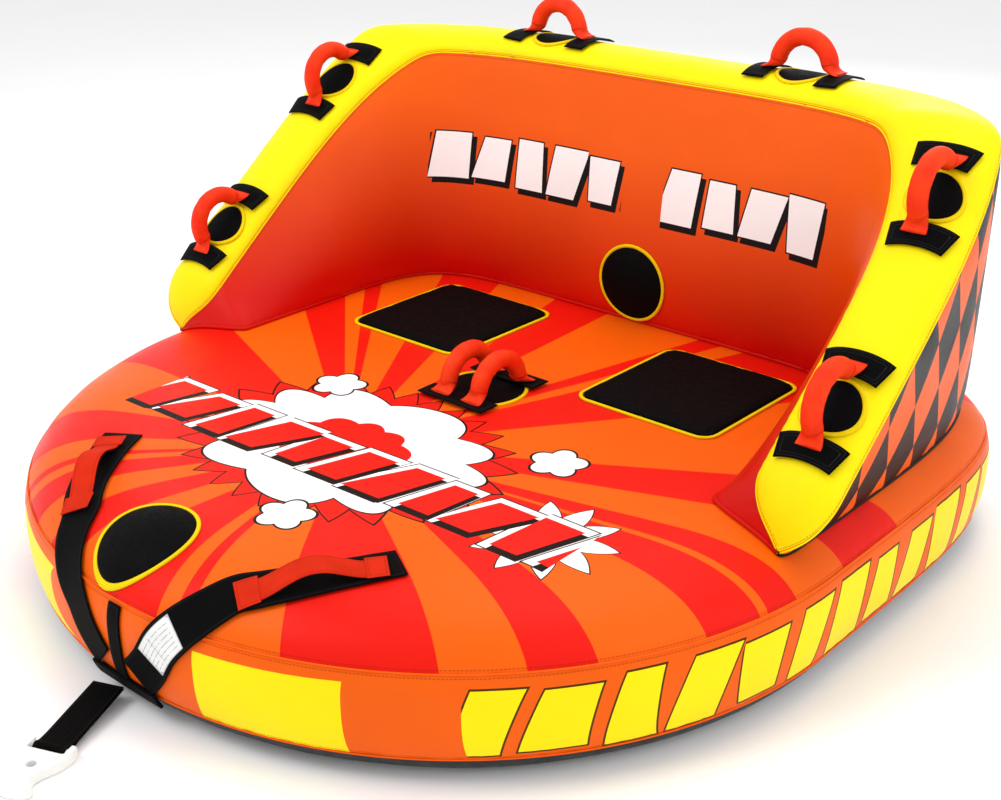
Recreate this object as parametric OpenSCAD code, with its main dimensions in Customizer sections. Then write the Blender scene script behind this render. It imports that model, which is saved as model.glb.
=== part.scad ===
// Two-rider sofa-style towable tube: an inflated base, an inflated U-shaped arm and back wall,
// a sewn fabric cover, foam pads, grab handles and a webbing tow harness with a quick-connect hook.
// +Z is up, the tow end points to -Y, and the origin is the centre of the flat underside.

/* [Base tube] */
// Overall width of the inflated base
base_w = 1596; // [1500:2:1700]
// Distance from the origin to the nose
nose_len = 817; // [790:1:840]
// Distance from the origin to the rear edge
rear_len = 817; // [790:1:840]
// Height of the flat riding deck above the ground
base_h = 267; // [230:1:290]
// How far the deck's rounded edge reaches inwards
deck_round = 212; // [190:2:230]
// How far the underside's rounded edge reaches inwards
under_round = 86; // [70:2:120]
// Squareness of the rear half of the outline (2 is an ellipse)
rear_square = 5; // [4:0.1:6]

/* [Arm and back wall] */
// Slope of the arm tops, in degrees
arm_slope = 39.2; // [36:0.1:41]
// Height of the rim's seams at the back above the ground
back_seam_h = 770; // [700:5:800]
// Height of the rounded rim above its seams
rim_rise = 38; // [30:1:50]
// Width of the rim between its seams
rim_w = 144; // [130:2:156]
// Distance of the middle of an arm's rim from the tube's centre line
arm_mid = 731; // [716:1:740]
// Distance of the middle of the back's rim behind the origin
back_mid = 614; // [590:1:630]
// Distance of the wall's outer foot from the tube's centre line
foot_out_side = 742; // [730:1:750]
// Distance of the wall's outer foot behind the origin
foot_out_back = 760; // [740:1:768]
// Distance of the arms' inner foot from the tube's centre line
foot_in_side = 580; // [566:1:590]
// Distance of the back's inner foot behind the origin
foot_in_back = 507; // [490:1:520]

/* [Materials] */
// Thickness of the nylon cover
cover_t = 1.5; // [1:0.1:2]
// Wall thickness of the PVC bladders
bladder_t = 1.5; // [1:0.1:2]

/* [Seats] */
// Width of one seat pad
seat_w = 305; // [260:5:340]
// Depth of one seat pad
seat_l = 319; // [280:1:340]
// Thickness of a seat pad
seat_t = 8; // [5:1:12]
// Distance of each seat pad from the middle
seat_gap = 149; // [110:1:170]
// Front edge of the seat pads, from the origin
seat_front = 109; // [80:1:130]

/* [Handles] */
// Radius of a foam grip
grip_r = 17; // [14:0.5:19]
// Radius of a grip's arch, on its centre line, which spans 2 x arch_half degrees
arch_r = 56; // [52:1:58]
// Half the angle that a grip's arch spans, in degrees
arch_half = 78; // [70:1:85]
// Height above the cover of the line through a handle's feet, about which it swings
pivot_h = 26; // [26:0.5:30]
// Width of the anchor webbing
anchor_w = 48; // [38:1:52]
// Length of an anchor webbing across the rim
anchor_l = 104; // [90:1:108]
// Distance between the middles of a handle's two anchors
anchor_span = 160; // [150:1:170]

/* [Valve covers] */
// Diameter of the round cover on the front of the deck
front_cover_d = 154; // [140:2:160]
// Diameter of the round cover on the backrest
back_cover_d = 152; // [140:2:160]

/* [Tow harness] */
// Width of a harness leg
leg_w = 72; // [50:1:76]
// Length of the tow strap between its pivot and the hook's crossbar
tow_len = 155; // [130:5:200]
// Width of the tow strap
tow_w = 56; // [50:1:60]
// Sideways turn of the tow strap where it lies, in degrees
tow_yaw = 22; // [0:1:30]
// Radius of the hook's rope eye
eye_r = 8; // [6:0.5:9]
// Thickness of the hook
hook_t = 20; // [18:1:24]

/* [Hidden] */
$fn = 48;

mid_h = base_h / 2;
half_w = base_w / 2;
wide_y = -31;
edge_power = 2.55;
front_power = 2.04;
seam_top_h = base_h - 75;
seam_low_h = 45;
gap = 1;
bladder_off = cover_t + gap;
base_step = 5;
base_phi = [for (p = [0:base_step:360 - base_step]) p];

// ---- small helpers ----
function blend(a, b, t) = a + (b - a) * t;
function clamp01(t) = min(1, max(0, t));
function spow(v, p) = pow(max(v, 0), p);
function unit(v) = v / norm(v);
function smooth_min(a, b, k) = let (h = max(k - abs(a - b), 0) / k) min(a, b) - h * h * k / 4;

// ---- outline of the base in plan: two half superellipses that share their widest line ----
// Radius at an angle phi about the middle of the widest line
function super_radius(phi, w, l, n) =
    pow(pow(abs(cos(phi)) / w, n) + pow(abs(sin(phi)) / l, n), -1 / n);
function around(phi, r) = [r * cos(phi), wide_y + r * sin(phi)];
function outline_r(phi) = sin(phi) > 0
    ? super_radius(phi, half_w, rear_len - wide_y, rear_square)
    : super_radius(phi, half_w, nose_len + wide_y, front_power);
function outline_xy(phi) = around(phi, outline_r(phi));
function outline_normal(phi) =
    let (t = outline_xy(phi + 0.2) - outline_xy(phi - 0.2))
    unit([t[1], -t[0]]);
// Point on the outline moved inwards by inset
function inset_xy(phi, inset) = outline_xy(phi) - inset * outline_normal(phi);
// Distance inwards from the outline of a point at radius r
function inset_at(phi, r) = (outline_r(phi) - r) * (outline_normal(phi) * [cos(phi), sin(phi)]);

// ---- side profile of the base: a is 90 on the deck, 0 at the widest line, -90 underneath ----
function edge_round(a) = a >= 0 ? deck_round : under_round;
function raw_profile(a) =
    [edge_round(a) * (1 - spow(cos(a), 2 / edge_power)),
     mid_h + mid_h * sign(a) * spow(abs(sin(a)), 2 / edge_power)];
function profile_normal(a) =
    abs(a) > 89 ? [0, sign(a)] :
    let (t = raw_profile(a + 0.5) - raw_profile(a - 0.5)) unit([-t[1], t[0]]);
function profile(a, off) = raw_profile(a) + off * profile_normal(a);
function profile_angle(z) =
    sign(z - mid_h) * asin(spow(abs(z - mid_h) / mid_h, edge_power / 2));
function base_point(phi, a, off) =
    let (p = profile(a, off), q = inset_xy(phi, p[0])) [q[0], q[1], p[1]];
function base_loop(a, off) = [for (phi = base_phi) base_point(phi, a, off)];
// Height of the deck at a distance in from the widest edge
function deck_height(inset) =
    let (u = 1 - clamp01(inset / deck_round))
    mid_h + mid_h * spow(1 - pow(u, edge_power), 1 / edge_power);
function deck_inset(x, y) = inset_at(atan2(y - wide_y, x), norm([x, y - wide_y]));
function deck_xyz(x, y) = [x, y, deck_height(deck_inset(x, y))];

top_seam_a = profile_angle(seam_top_h);
low_seam_a = profile_angle(seam_low_h);
deck_angles = [for (t = [0:0.2:1]) blend(top_seam_a, 90, t)];
band_angles = [for (t = [0:1 / 6:1.001]) blend(low_seam_a, top_seam_a, t)];
under_angles = [for (t = [0:0.25:1]) blend(-90, low_seam_a, t)];
tube_angles = concat(under_angles, [for (i = [1:len(band_angles) - 1]) band_angles[i]],
                     [for (i = [1:len(deck_angles) - 1]) deck_angles[i]]);

// ---- arm and back wall: upright sections at angles about the middle of the widest line ----
wall_start = -6.3;
toe_steps = [for (i = [1:6]) wall_start + 5.5 * pow(i / 6, 2)];
arm_steps = [for (p = [4:6:34]) p];
corner_steps = [for (p = [37:3.5:58]) p];
back_steps = [for (p = [64:6.5:83.5]) p];
wall_half = concat(toe_steps, arm_steps, corner_steps, back_steps);
wall_phi = concat(wall_half, [90], [for (i = [len(wall_half) - 1:-1:0]) 180 - wall_half[i]]);
rim_half = rim_w / 2;
rim_in_square = 4.1;
rim_out_square = 4.2;
foot_out_square = 5;
foot_in_square = 7;
crown_power = 2.1;
inner_swell = -24;
outer_swell = 10;
swell_h = 300;
toe_y = -112;
toe_len = 50;
arm_seam_h = base_h + 124;
slope_blend = 18;
foot_gap = 3;
function rim_in_r(phi) =
    super_radius(phi, arm_mid - rim_half, back_mid - rim_half - wide_y, rim_in_square);
function rim_out_r(phi) =
    super_radius(phi, arm_mid + rim_half, back_mid + rim_half - wide_y, rim_out_square);
function rim_mid_r(phi) = (rim_in_r(phi) + rim_out_r(phi)) / 2;
function foot_out_r(phi) =
    super_radius(phi, foot_out_side, foot_out_back - wide_y, foot_out_square);
function foot_in_r(phi) = super_radius(phi, foot_in_side, foot_in_back - wide_y, foot_in_square);
// Height of the rim's seams over a place y along the tube
function seam_height(y) = smooth_min(arm_seam_h + tan(arm_slope) * y, back_seam_h, slope_blend);
// 0 at the tip of an arm's toe, 1 behind its rounded end
function toe(phi) =
    let (u = clamp01((around(phi, rim_mid_r(phi))[1] - toe_y) / toe_len))
    sqrt(1 - pow(1 - u, 2));
function foot_z(phi, r) = deck_height(inset_at(phi, r)) + foot_gap;
// How far a side panel swells at a share s of its height
function swell(amount, height, s) =
    let (t = pow(s, 0.7)) amount * min(1, height / swell_h) * 4 * t * (1 - t);
// Height of a side's foot, which meets the other side's at the tip of the toe
function low_z(phi, foot) = foot_z(phi, blend(rim_mid_r(phi), foot, toe(phi)));
function side_xyz(phi, foot, seam, amount, s) =
    let (w = toe(phi), mid = rim_mid_r(phi), foot_r = blend(mid, foot, w),
         low = low_z(phi, foot),
         flat_r = blend(foot_r, blend(mid, seam, w), s),
         top = blend(low, seam_height(around(phi, flat_r)[1]), w),
         q = around(phi, flat_r + swell(amount, top - low, s)))
    [q[0], q[1], blend(low, top, s)];
function crown_xyz(phi, beta) =
    let (w = toe(phi),
         c = spow(abs(cos(beta)), 2 / crown_power) * sign(cos(beta)),
         r = rim_mid_r(phi) - w * (rim_out_r(phi) - rim_in_r(phi)) / 2 * c,
         q = around(phi, r),
         low = blend(low_z(phi, foot_out_r(phi)), low_z(phi, foot_in_r(phi)), (1 + c) / 2))
    [q[0], q[1], blend(low, seam_height(q[1]), w)
                 + rim_rise * w * spow(sin(beta), 2 / crown_power)];
function floor_xyz(phi, t) =
    let (r = blend(rim_mid_r(phi), blend(foot_out_r(phi), foot_in_r(phi), t), toe(phi)),
         q = around(phi, r))
    [q[0], q[1], foot_z(phi, r)];
side_steps = [0, 0.25, 0.5, 0.75, 1];
crown_steps = [for (b = [0:22.5:180]) b];
function inner_course(phi) =
    [for (s = side_steps)
        side_xyz(phi, foot_in_r(phi), rim_in_r(phi), inner_swell, s)];
function outer_course(phi) =
    [for (s = side_steps)
        side_xyz(phi, foot_out_r(phi), rim_out_r(phi), outer_swell, 1 - s)];
function crown_course(phi) = [for (b = crown_steps) crown_xyz(phi, b)];
function floor_course(phi) = [for (t = [0.25, 0.5, 0.75]) floor_xyz(phi, t)];
function tail(list) = [for (i = [1:len(list) - 1]) list[i]];
function wall_loop(phi) =
    concat(inner_course(phi), tail(crown_course(phi)), tail(outer_course(phi)),
           floor_course(phi));
// Moves a section's points inwards by off, in the section's own upright plane
function shrink_loop(loop, phi, off) =
    let (n = len(loop), side = [cos(phi), sin(phi), 0])
    [for (i = [0:n - 1])
        let (t = unit(loop[(i + 1) % n] - loop[i]) + unit(loop[i] - loop[(i + n - 1) % n]),
             along = t * side, up = t[2], d = unit([-up, along]))
        loop[i] - off * (d[0] * side + d[1] * [0, 0, 1])];
function wall_ring(phi, off) = shrink_loop(wall_loop(phi), phi, off);
function span_of(list, a, b) = [for (i = [a:b]) list[i]];
function reversed(list) = [for (i = [len(list) - 1:-1:0]) list[i]];

// ---- closed skins ----
// rings: loops of equal length. looped joins the last ring to the first; otherwise both ends
// are closed, across the ring where it is a thin strip and round its middle where it isn't.
// Quads from index fold on use the other diagonal, so both faces of a skin agree.
function middle(ring) = [for (k = [0:2]) [for (p = ring) p[k]] * [for (p = ring) 1 / len(ring)]];
function cap_faces(first, m, hub, strip) = strip
    ? [for (j = [0:m / 2 - 2]) let (a = first + j, b = first + m - 1 - j) [b, b - 1, a + 1, a]]
    : [for (j = [0:m - 1]) [first + (j + 1) % m, first + j, hub]];
function flipped(faces) = [for (f = faces) reversed(f)];
module skin(rings, looped = false, strip = false, fold = 100000) {
    n = len(rings);
    m = len(rings[0]);
    last = looped ? n - 1 : n - 2;
    hubs = looped || strip ? [] : [middle(rings[0]), middle(rings[n - 1])];
    points = concat([for (r = rings) for (p = r) p], hubs);
    faces = [for (i = [0:last]) for (j = [0:m - 1])
        let (k = (i + 1) % n, l = (j + 1) % m,
             a = i * m + j, b = i * m + l, c = k * m + l, d = k * m + j)
        for (f = j < fold || j == m - 1 ? [[a, b, c], [a, c, d]] : [[a, b, d], [b, c, d]]) f];
    caps = looped ? [] : concat(cap_faces(0, m, n * m, strip),
                                flipped(cap_faces((n - 1) * m, m, n * m + 1, strip)));
    polyhedron(points, concat(faces, caps));
}

// A thin band of the base's skin between two offsets, all the way round
module base_band(angles, outer, inner) {
    skin([for (phi = base_phi) concat([for (a = angles) base_point(phi, a, outer)],
                                      [for (a = reversed(angles)) base_point(phi, a, inner)])],
         looped = true, fold = len(angles) - 1);
}

// A closed dish of the base's skin from its flat middle out to a seam
module base_dish(angles, outer, inner) {
    skin(concat([for (a = reversed(angles)) base_loop(a, outer)],
                [for (a = angles) base_loop(a, inner)]));
}

// A strip of the wall's skin between two places of its section
module wall_strip(first, last) {
    skin([for (phi = reversed(wall_phi))
        concat(span_of(wall_ring(phi, 0), first, last),
               reversed(span_of(wall_ring(phi, cover_t), first, last)))],
         strip = true, fold = last - first);
}

// ---- patches laid on a surface f(u, v) ----
function lifted(f, u, v, off) =
    let (p = f(u, v), n = cross(f(u + 1, v) - p, f(u, v + 1) - p)) p + off * unit(n);
module disc_patch(f, r, low, high, dome = 0, r_in = 0, sides = 24) {
    steps = r_in > 0 ? [r_in, r] : [0.34 * r, 0.67 * r, r];
    function ring_at(q, off) = [for (i = [0:sides - 1])
        let (t = -i * 360 / sides) lifted(f, q * cos(t), q * sin(t),
                                          off + dome * (1 - pow(q / r, 2)))];
    if (r_in > 0)
        skin([ring_at(r_in, low), ring_at(r, low), ring_at(r, high), ring_at(r_in, high)],
             looped = true);
    else
        skin(concat([for (q = steps) ring_at(q, low)],
                    [for (q = reversed(steps)) ring_at(q, high)]));
}
module rect_patch(f, u0, u1, v0, v1, low, high, cuts = 6) {
    skin([for (i = [0:cuts]) let (u = blend(u0, u1, i / cuts))
        [lifted(f, u, v1, low), lifted(f, u, v0, low),
         lifted(f, u, v0, high), lifted(f, u, v1, high)]], strip = true, fold = 2);
}
// A flat strap over the points of path, each [place, normal]
module strap(path, width, low, high) {
    n = len(path);
    skin([for (i = [0:n - 1])
        let (p = path[i][0], up = path[i][1],
             t = path[min(i + 1, n - 1)][0] - path[max(i - 1, 0)][0],
             side = unit(cross(t, up)) * width / 2)
        [p - side + up * low, p + side + up * low, p + side + up * high, p - side + up * high]],
         strip = true, fold = 2);
}

// ---- surfaces that patches lie on: u and v run over each from its own place ----
// Middle of the rim: how far out at a place y on the arms, how far back at a place x on the back
function arm_x(y) =
    let (v = clamp01((y - wide_y) / (back_mid - wide_y)))
    arm_mid * pow(1 - pow(v, rim_in_square), 1 / rim_in_square);
function back_y(x) =
    wide_y + (back_mid - wide_y)
             * pow(1 - pow(abs(x) / arm_mid, rim_in_square), 1 / rim_in_square);
function rim_top(x, y) =
    let (phi = atan2(y - wide_y, abs(x)), r = norm([x, y - wide_y]),
         q = min(1, abs(r - rim_mid_r(phi)) * 2 / (rim_out_r(phi) - rim_in_r(phi))))
    [x, y, seam_height(y) + rim_rise * spow(1 - pow(q, crown_power), 1 / crown_power)];
function arm_surface(side, y0) = function (u, v)
    let (y = y0 + u * cos(arm_slope)) rim_top(side * arm_x(y) - v, y);
function back_surface(x0) = function (u, v) rim_top(x0 + u, back_y(x0 + u) + v);
function deck_surface(x0, y0) = function (u, v) deck_xyz(x0 + u, y0 + v);
function backrest_surface(z0) = function (u, v)
    let (h = back_seam_h - base_h, s = (z0 + v - base_h) / h)
    [u, blend(foot_in_back, back_mid - rim_half, s) + swell(inner_swell, h, s), z0 + v];
function shell_back_surface(z0) = function (u, v)
    let (h = back_seam_h - base_h, s = (z0 + v - base_h) / h)
    [-u, blend(foot_out_back, back_mid + rim_half, s) + swell(outer_swell, h, s), z0 + v];

// ---- places ----
lower_y = 21;
upper_y = 340;
back_handle_x = 297;
rim_pad_r = 53;
binding_w = 7;
front_cover_at = [-32, -720];
back_cover_z = base_h + 88;
centre_y = 30;
centre_pad_r = 78;
centre_handle_x = 38;
centre_anchor_l = 158;
centre_anchor_span = 146;
valve_r = 20;
valve_bore_r = 15;
valve_port_r = 36;
red = "#e8361c";
orange = "#f06a18";
yellow = "#f5d311";
black = "#151515";

// ---- inflated bladders ----
module base_solid(off) {
    skin([for (a = reversed(tube_angles)) base_loop(a, off)]);
}
module wall_solid(off) {
    trim = off > bladder_off ? 2 : 1;
    phis = span_of(wall_phi, trim, len(wall_phi) - 1 - trim);
    skin([for (phi = reversed(phis)) wall_ring(phi, off)]);
}
front_cover_surface = deck_surface(front_cover_at[0], front_cover_at[1]);
// Places a child on a surface with its Z axis along the surface's outward normal
module at_surface(f) {
    n = lifted(f, 0, 0, 1) - f(0, 0);
    translate(f(0, 0)) rotate([atan2(-n[1], n[2]), 0, 0]) children();
}
module at_front_valve() at_surface(front_cover_surface) children();
module at_back_valve() at_surface(backrest_surface(back_cover_z)) children();
port_sides = 24;
module port(r) linear_extrude(30, center = true)
    polygon([for (i = [0.5:port_sides]) r * [cos(i * 360 / port_sides), sin(i * 360 / port_sides)]]);
module base_bladder() color("#7d7f82") difference() {
    base_solid(-bladder_off);
    base_solid(-bladder_off - bladder_t);
    at_front_valve() port(valve_r + 0.5);
}
module back_bladder() color("#8b8d90") difference() {
    wall_solid(bladder_off);
    wall_solid(bladder_off + bladder_t);
    at_back_valve() port(valve_r + 0.5);
}
// Webs that hold the deck flat
module base_baffles() color("#9a9c9f") {
    web_h = base_h - 2 * (bladder_off + bladder_t) - 0.4;
    for (i = [-2:2])
        translate([i * 230 - 0.5, -500 + abs(i) * 60, bladder_off + bladder_t + 0.2])
            cube([1, 1000 - abs(i) * 80, web_h]);
}

// ---- sewn cover ----
module deck_panel() color(red) difference() {
    base_dish(deck_angles, 0, -cover_t);
    at_front_valve() port(valve_port_r);
}
module side_band() color(orange) base_band(band_angles, 0, -cover_t);
module bottom_panel() color("#202020")
    skin(concat([for (a = under_angles) base_loop(a, -cover_t)],
                [for (a = reversed(under_angles)) base_loop(a, 0)]));
inner_last = len(side_steps) - 1;
crown_last = inner_last + len(crown_steps) - 1;
outer_last = crown_last + len(side_steps) - 1;
module backrest_panel() color(orange) difference() {
    wall_strip(0, inner_last);
    at_back_valve() port(valve_port_r);
}
module rim_panel() color(yellow) wall_strip(inner_last, crown_last);
module outer_panel() color("#3a2410") wall_strip(crown_last, outer_last);

// ---- seat pads ----
module rounded_plate(w, l, r, h) {
    linear_extrude(h) union() {
        translate([r, 0]) square([w - 2 * r, l]);
        translate([0, r]) square([w, l - 2 * r]);
        for (x = [r, w - r], y = [r, l - r]) translate([x, y]) circle(r);
    }
}
seat_r = 34;
module at_seat(side) {
    translate([side > 0 ? seat_gap : -seat_gap - seat_w, seat_front, base_h]) children();
}
module seat_pad(side) color(black) at_seat(side) translate([binding_w, binding_w, 0])
    rounded_plate(seat_w - 2 * binding_w, seat_l - 2 * binding_w, seat_r - binding_w, seat_t);
module seat_binding(side) color(yellow) at_seat(side) difference() {
    rounded_plate(seat_w, seat_l, seat_r, 4);
    translate([binding_w, binding_w, -1])
        rounded_plate(seat_w - 2 * binding_w, seat_l - 2 * binding_w, seat_r - binding_w, 6);
}
module seat_pad_left() seat_pad(-1);
module seat_pad_right() seat_pad(1);
module seat_binding_left() seat_binding(-1);
module seat_binding_right() seat_binding(1);

// ---- handles: a bored foam arch with closed round feet on its pivot line, local X ----
foot_x = arch_r * sin(arch_half);
arch_drop = arch_r * cos(arch_half);
core_bore_r = 8;
module arc_sweep(half = arch_half) translate([0, 0, -arch_drop]) rotate([90, 0, 0])
    rotate_extrude(angle = 2 * half, start = 90 - half, $fn = 96)
        translate([arch_r, 0]) children();
foot_step = 0.6;
module grip() color(red) {
    arc_sweep() difference() {
        circle(grip_r);
        circle(core_bore_r);
    }
    for (s = [-1, 1]) translate([s * foot_x, 0, 0]) rotate([0, s * (90 - arch_half), 0])
        rotate([180, 0, 0]) rotate_extrude() intersection() {
            circle(grip_r - foot_step);
            square(grip_r);
        }
}
module core() color(black) arc_sweep(arch_half - 1) square([3, 11], center = true);
module on_arm(side, y) translate(lifted(arm_surface(side, y), 0, 0, pivot_h))
    rotate([arm_slope, 0, 0]) rotate([0, 0, 90]) children();
module on_back(side) translate(back_surface(side * back_handle_x)(0, 0) + [0, 0, pivot_h])
    children();
module on_centre(side) translate([side * centre_handle_x, centre_y, base_h + pivot_h])
    rotate([0, 0, 90]) children();
module lower_grip_left() on_arm(-1, lower_y) grip();
module lower_grip_right() on_arm(1, lower_y) grip();
module upper_grip_left() on_arm(-1, upper_y) grip();
module upper_grip_right() on_arm(1, upper_y) grip();
module back_grip_left() on_back(-1) grip();
module back_grip_right() on_back(1) grip();
module centre_grip_left() on_centre(-1) grip();
module centre_grip_right() on_centre(1) grip();
module lower_core_left() on_arm(-1, lower_y) core();
module lower_core_right() on_arm(1, lower_y) core();
module upper_core_left() on_arm(-1, upper_y) core();
module upper_core_right() on_arm(1, upper_y) core();
module back_core_left() on_back(-1) core();
module back_core_right() on_back(1) core();
module centre_core_left() on_centre(-1) core();
module centre_core_right() on_centre(1) core();

// ---- what the handles are sewn to: knuckle pads, their bindings and the anchor webbing ----
pad_low = 1.5;
pad_high = 4.5;
binding_high = 5.2;
anchor_low = 5.8;
anchor_high = 8.2;
rim_spots = [arm_surface(-1, lower_y), arm_surface(1, lower_y),
             arm_surface(-1, upper_y), arm_surface(1, upper_y)];
back_spots = [back_surface(-back_handle_x), back_surface(back_handle_x)];
all_spots = concat(rim_spots, back_spots);
module rim_pads() color(black)
    for (f = all_spots) disc_patch(f, rim_pad_r - binding_w, pad_low, pad_high, sides = 20);
module rim_bindings() color(yellow) for (f = all_spots)
    disc_patch(f, rim_pad_r, pad_low, binding_high, r_in = rim_pad_r - binding_w + 0.2, sides = 20);
module rim_anchors() color(black) for (f = all_spots, s = [-1, 1])
    rect_patch(function (u, v) f(v + s * anchor_span / 2, -u), -anchor_l / 2, anchor_l / 2,
               -anchor_w / 2, anchor_w / 2, anchor_low, anchor_high);
module centre_pad() color(black) translate([0, centre_y, base_h])
    cylinder(r = centre_pad_r, h = 3);
module centre_binding() color(yellow) translate([0, centre_y, base_h]) difference() {
    cylinder(r = centre_pad_r + binding_w, h = 4);
    translate([0, 0, -1]) cylinder(r = centre_pad_r, h = 6);
}
module centre_anchors() color(black) for (s = [-1, 1])
    translate([-centre_anchor_l / 2, centre_y + s * centre_anchor_span / 2 - anchor_w / 2,
               base_h + anchor_low])
        cube([centre_anchor_l, anchor_w, anchor_high - anchor_low]);

// ---- valves under their round covers; local Z is out of the tube ----
module valve_body() color("#3a3a3c") difference() {
    union() {
        translate([0, 0, -2.2]) cylinder(r = 32, h = 2);
        translate([0, 0, -22]) cylinder(r = valve_r, h = 26);
    }
    translate([0, 0, -30]) cylinder(r = valve_bore_r, h = 50);
}
module valve_flap() color("#5a5a5c") translate([0, 0, -24.3]) cylinder(r = 18, h = 2);
module valve_cap() color("#4a4a4c") {
    translate([0, 0, 4.3]) cylinder(r = 22, h = 2.5);
    translate([0, 0, -6]) cylinder(r = valve_bore_r - 0.05, h = 10.3);
    translate([-18, -2, 6.8]) cube([36, 4, 2.2]);
}
module front_valve() at_front_valve() valve_body();
module front_valve_flap() at_front_valve() valve_flap();
module front_valve_cap() at_front_valve() valve_cap();
module back_valve() at_back_valve() valve_body();
module back_valve_flap() at_back_valve() valve_flap();
module back_valve_cap() at_back_valve() valve_cap();

// A cover is a domed neoprene disc with a bound edge; it lifts about its bound edge
cover_low = 0.6;
cover_high = 3.6;
cover_dome = 12;
module cover_disc(f, d) color(black)
    disc_patch(f, d / 2, cover_low, cover_high, dome = cover_dome);
module cover_ring(f, d) color(yellow)
    disc_patch(f, d / 2 + binding_w, cover_low, cover_high + 0.6, r_in = d / 2 + 0.05);
module front_cover() cover_disc(front_cover_surface, front_cover_d);
module front_cover_binding() cover_ring(front_cover_surface, front_cover_d);
module back_cover() cover_disc(backrest_surface(back_cover_z), back_cover_d);
module back_cover_binding() cover_ring(backrest_surface(back_cover_z), back_cover_d);

// ---- tow harness ----
leg_start = [344, -537];
leg_bend = [262, -682];
leg_edge = [190, -731];
leg_edge_a = 50;
leg_edge_phi = -74.8;
leg_end_a = -20;
leg_end_phi = -86.7;
strap_low = 1.5;
strap_t = 3;
function bezier(a, b, c, t) = (1 - t) * (1 - t) * a + 2 * t * (1 - t) * b + t * t * c;
function normal_on_deck(x, y) =
    let (f = deck_surface(x, y)) lifted(f, 0, 0, 1) - f(0, 0);
function deck_place(q) = [deck_xyz(q[0], q[1]), normal_on_deck(q[0], q[1])];
function edge_place(phi, a) =
    let (p = base_point(phi, a, 0)) [p, unit(base_point(phi, a, 1) - p)];
function leg_edge_place(t) =
    edge_place(blend(leg_edge_phi, leg_end_phi, t), blend(leg_edge_a, leg_end_a, t));
leg_path = concat([for (t = [0:0.125:0.99]) deck_place(bezier(leg_start, leg_bend, leg_edge, t))],
                  [for (t = [0.06:0.094:1.01]) leg_edge_place(t)]);
module harness_leg() color(black) strap(leg_path, leg_w, strap_low, strap_low + strap_t);
module harness_leg_right() harness_leg();
module harness_leg_left() mirror([1, 0, 0]) harness_leg();
module label_patch() color("white")
    strap([for (i = [12:16]) leg_path[i]], leg_w - 14, strap_low + strap_t + 1,
          strap_low + strap_t + 2);
module keeper_strap() color(black)
    strap([for (a = [14:-5:-11]) edge_place(-90, a)], 30, strap_low, strap_low + strap_t);
module nose_gusset() color(black)
    strap([for (a = [-33.5:-3:-45.5]) edge_place(-90, a)], 160, strap_low, strap_low + 2 * strap_t);

// Webbing handle that bridges its two sewn ends along a harness leg
leg_handle_mid = [272, -648];
leg_handle_dir = [cos(51), sin(51), 0];
leg_handle_half = 88;
leg_handle_rise = 24;
leg_handle_w = 42;
leg_handle_t = 4;
bridge_r = (pow(leg_handle_half - 8, 2) + pow(leg_handle_rise, 2)) / (2 * leg_handle_rise);
bridge_half = asin((leg_handle_half - 8) / bridge_r);
// Places a child at p with its X axis as near along as it can be and its Z axis along up
module placed(p, along, up) {
    x = unit(along - (along * up) * up);
    y = cross(up, x);
    multmatrix([[x[0], y[0], up[0], p[0]], [x[1], y[1], up[1], p[1]], [x[2], y[2], up[2], p[2]]])
        children();
}
module harness_handle() color(red) {
    spot = deck_place(leg_handle_mid);
    placed(spot[0] + (strap_low + strap_t + 4) * spot[1], leg_handle_dir, spot[1])
        translate([0, 0, leg_handle_rise + leg_handle_t / 2 - bridge_r]) rotate([90, 0, 0])
            rotate_extrude(angle = 2 * bridge_half, start = 90 - bridge_half, $fn = 96)
                translate([bridge_r, 0]) square([leg_handle_t, leg_handle_w], center = true);
}
module harness_handle_right() harness_handle();
module harness_handle_left() mirror([1, 0, 0]) harness_handle();

// ---- tow strap and quick-connect hook, lying on the ground ----
tow_pivot = [-42, -816, 22];
tow_end_h = hook_t / 2;
tow_t = 6;
crossbar_r = 6;
loop_r = 9.4;
tow_drop = asin((tow_pivot[2] - tow_end_h) / tow_len);
module on_tow() translate(tow_pivot) rotate([0, 0, tow_yaw - 90]) children();
module on_hook() on_tow() translate([tow_len * cos(tow_drop), 0, tow_end_h - tow_pivot[2]])
    children();
module tow_strap() color(black) on_tow() rotate([0, tow_drop, 0]) difference() {
    union() {
        rotate([90, 0, 0]) cylinder(r = tow_t / 2 + 1, h = tow_w, center = true);
        translate([0, -tow_w / 2, -tow_t / 2]) cube([tow_len - loop_r + 1, tow_w, tow_t]);
        translate([tow_len, 0, 0]) rotate([90, 0, 0])
            cylinder(r = loop_r, h = tow_w, center = true);
    }
    translate([tow_len, 0, 0]) rotate([90, 0, 0])
        cylinder(r = crossbar_r + 0.4, h = tow_w + 2, center = true);
}
hook_eye_x = 48;
fork_in = 31.5;
hook_half = [[-9, fork_in], [-9, 41], [8, 43], [28, 39], [56, 23], [70, 18], [82, 22], [90, 31],
             [98, 31], [106, 20], [110, 0]];
function mirrored(p) = [p[0], -p[1]];
module tow_hook() color("#f2f2f0") on_hook() {
    difference() {
        translate([0, 0, -hook_t / 2]) linear_extrude(hook_t)
            polygon(concat([[14, fork_in]], hook_half,
                           [for (i = [len(hook_half) - 2:-1:0]) mirrored(hook_half[i])],
                           [[14, -fork_in]]));
        translate([hook_eye_x, 0, -hook_t]) cylinder(r = eye_r, h = 2 * hook_t);
    }
    rotate([90, 0, 0]) cylinder(r = crossbar_r, h = 2 * fork_in, center = true);
}

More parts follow.
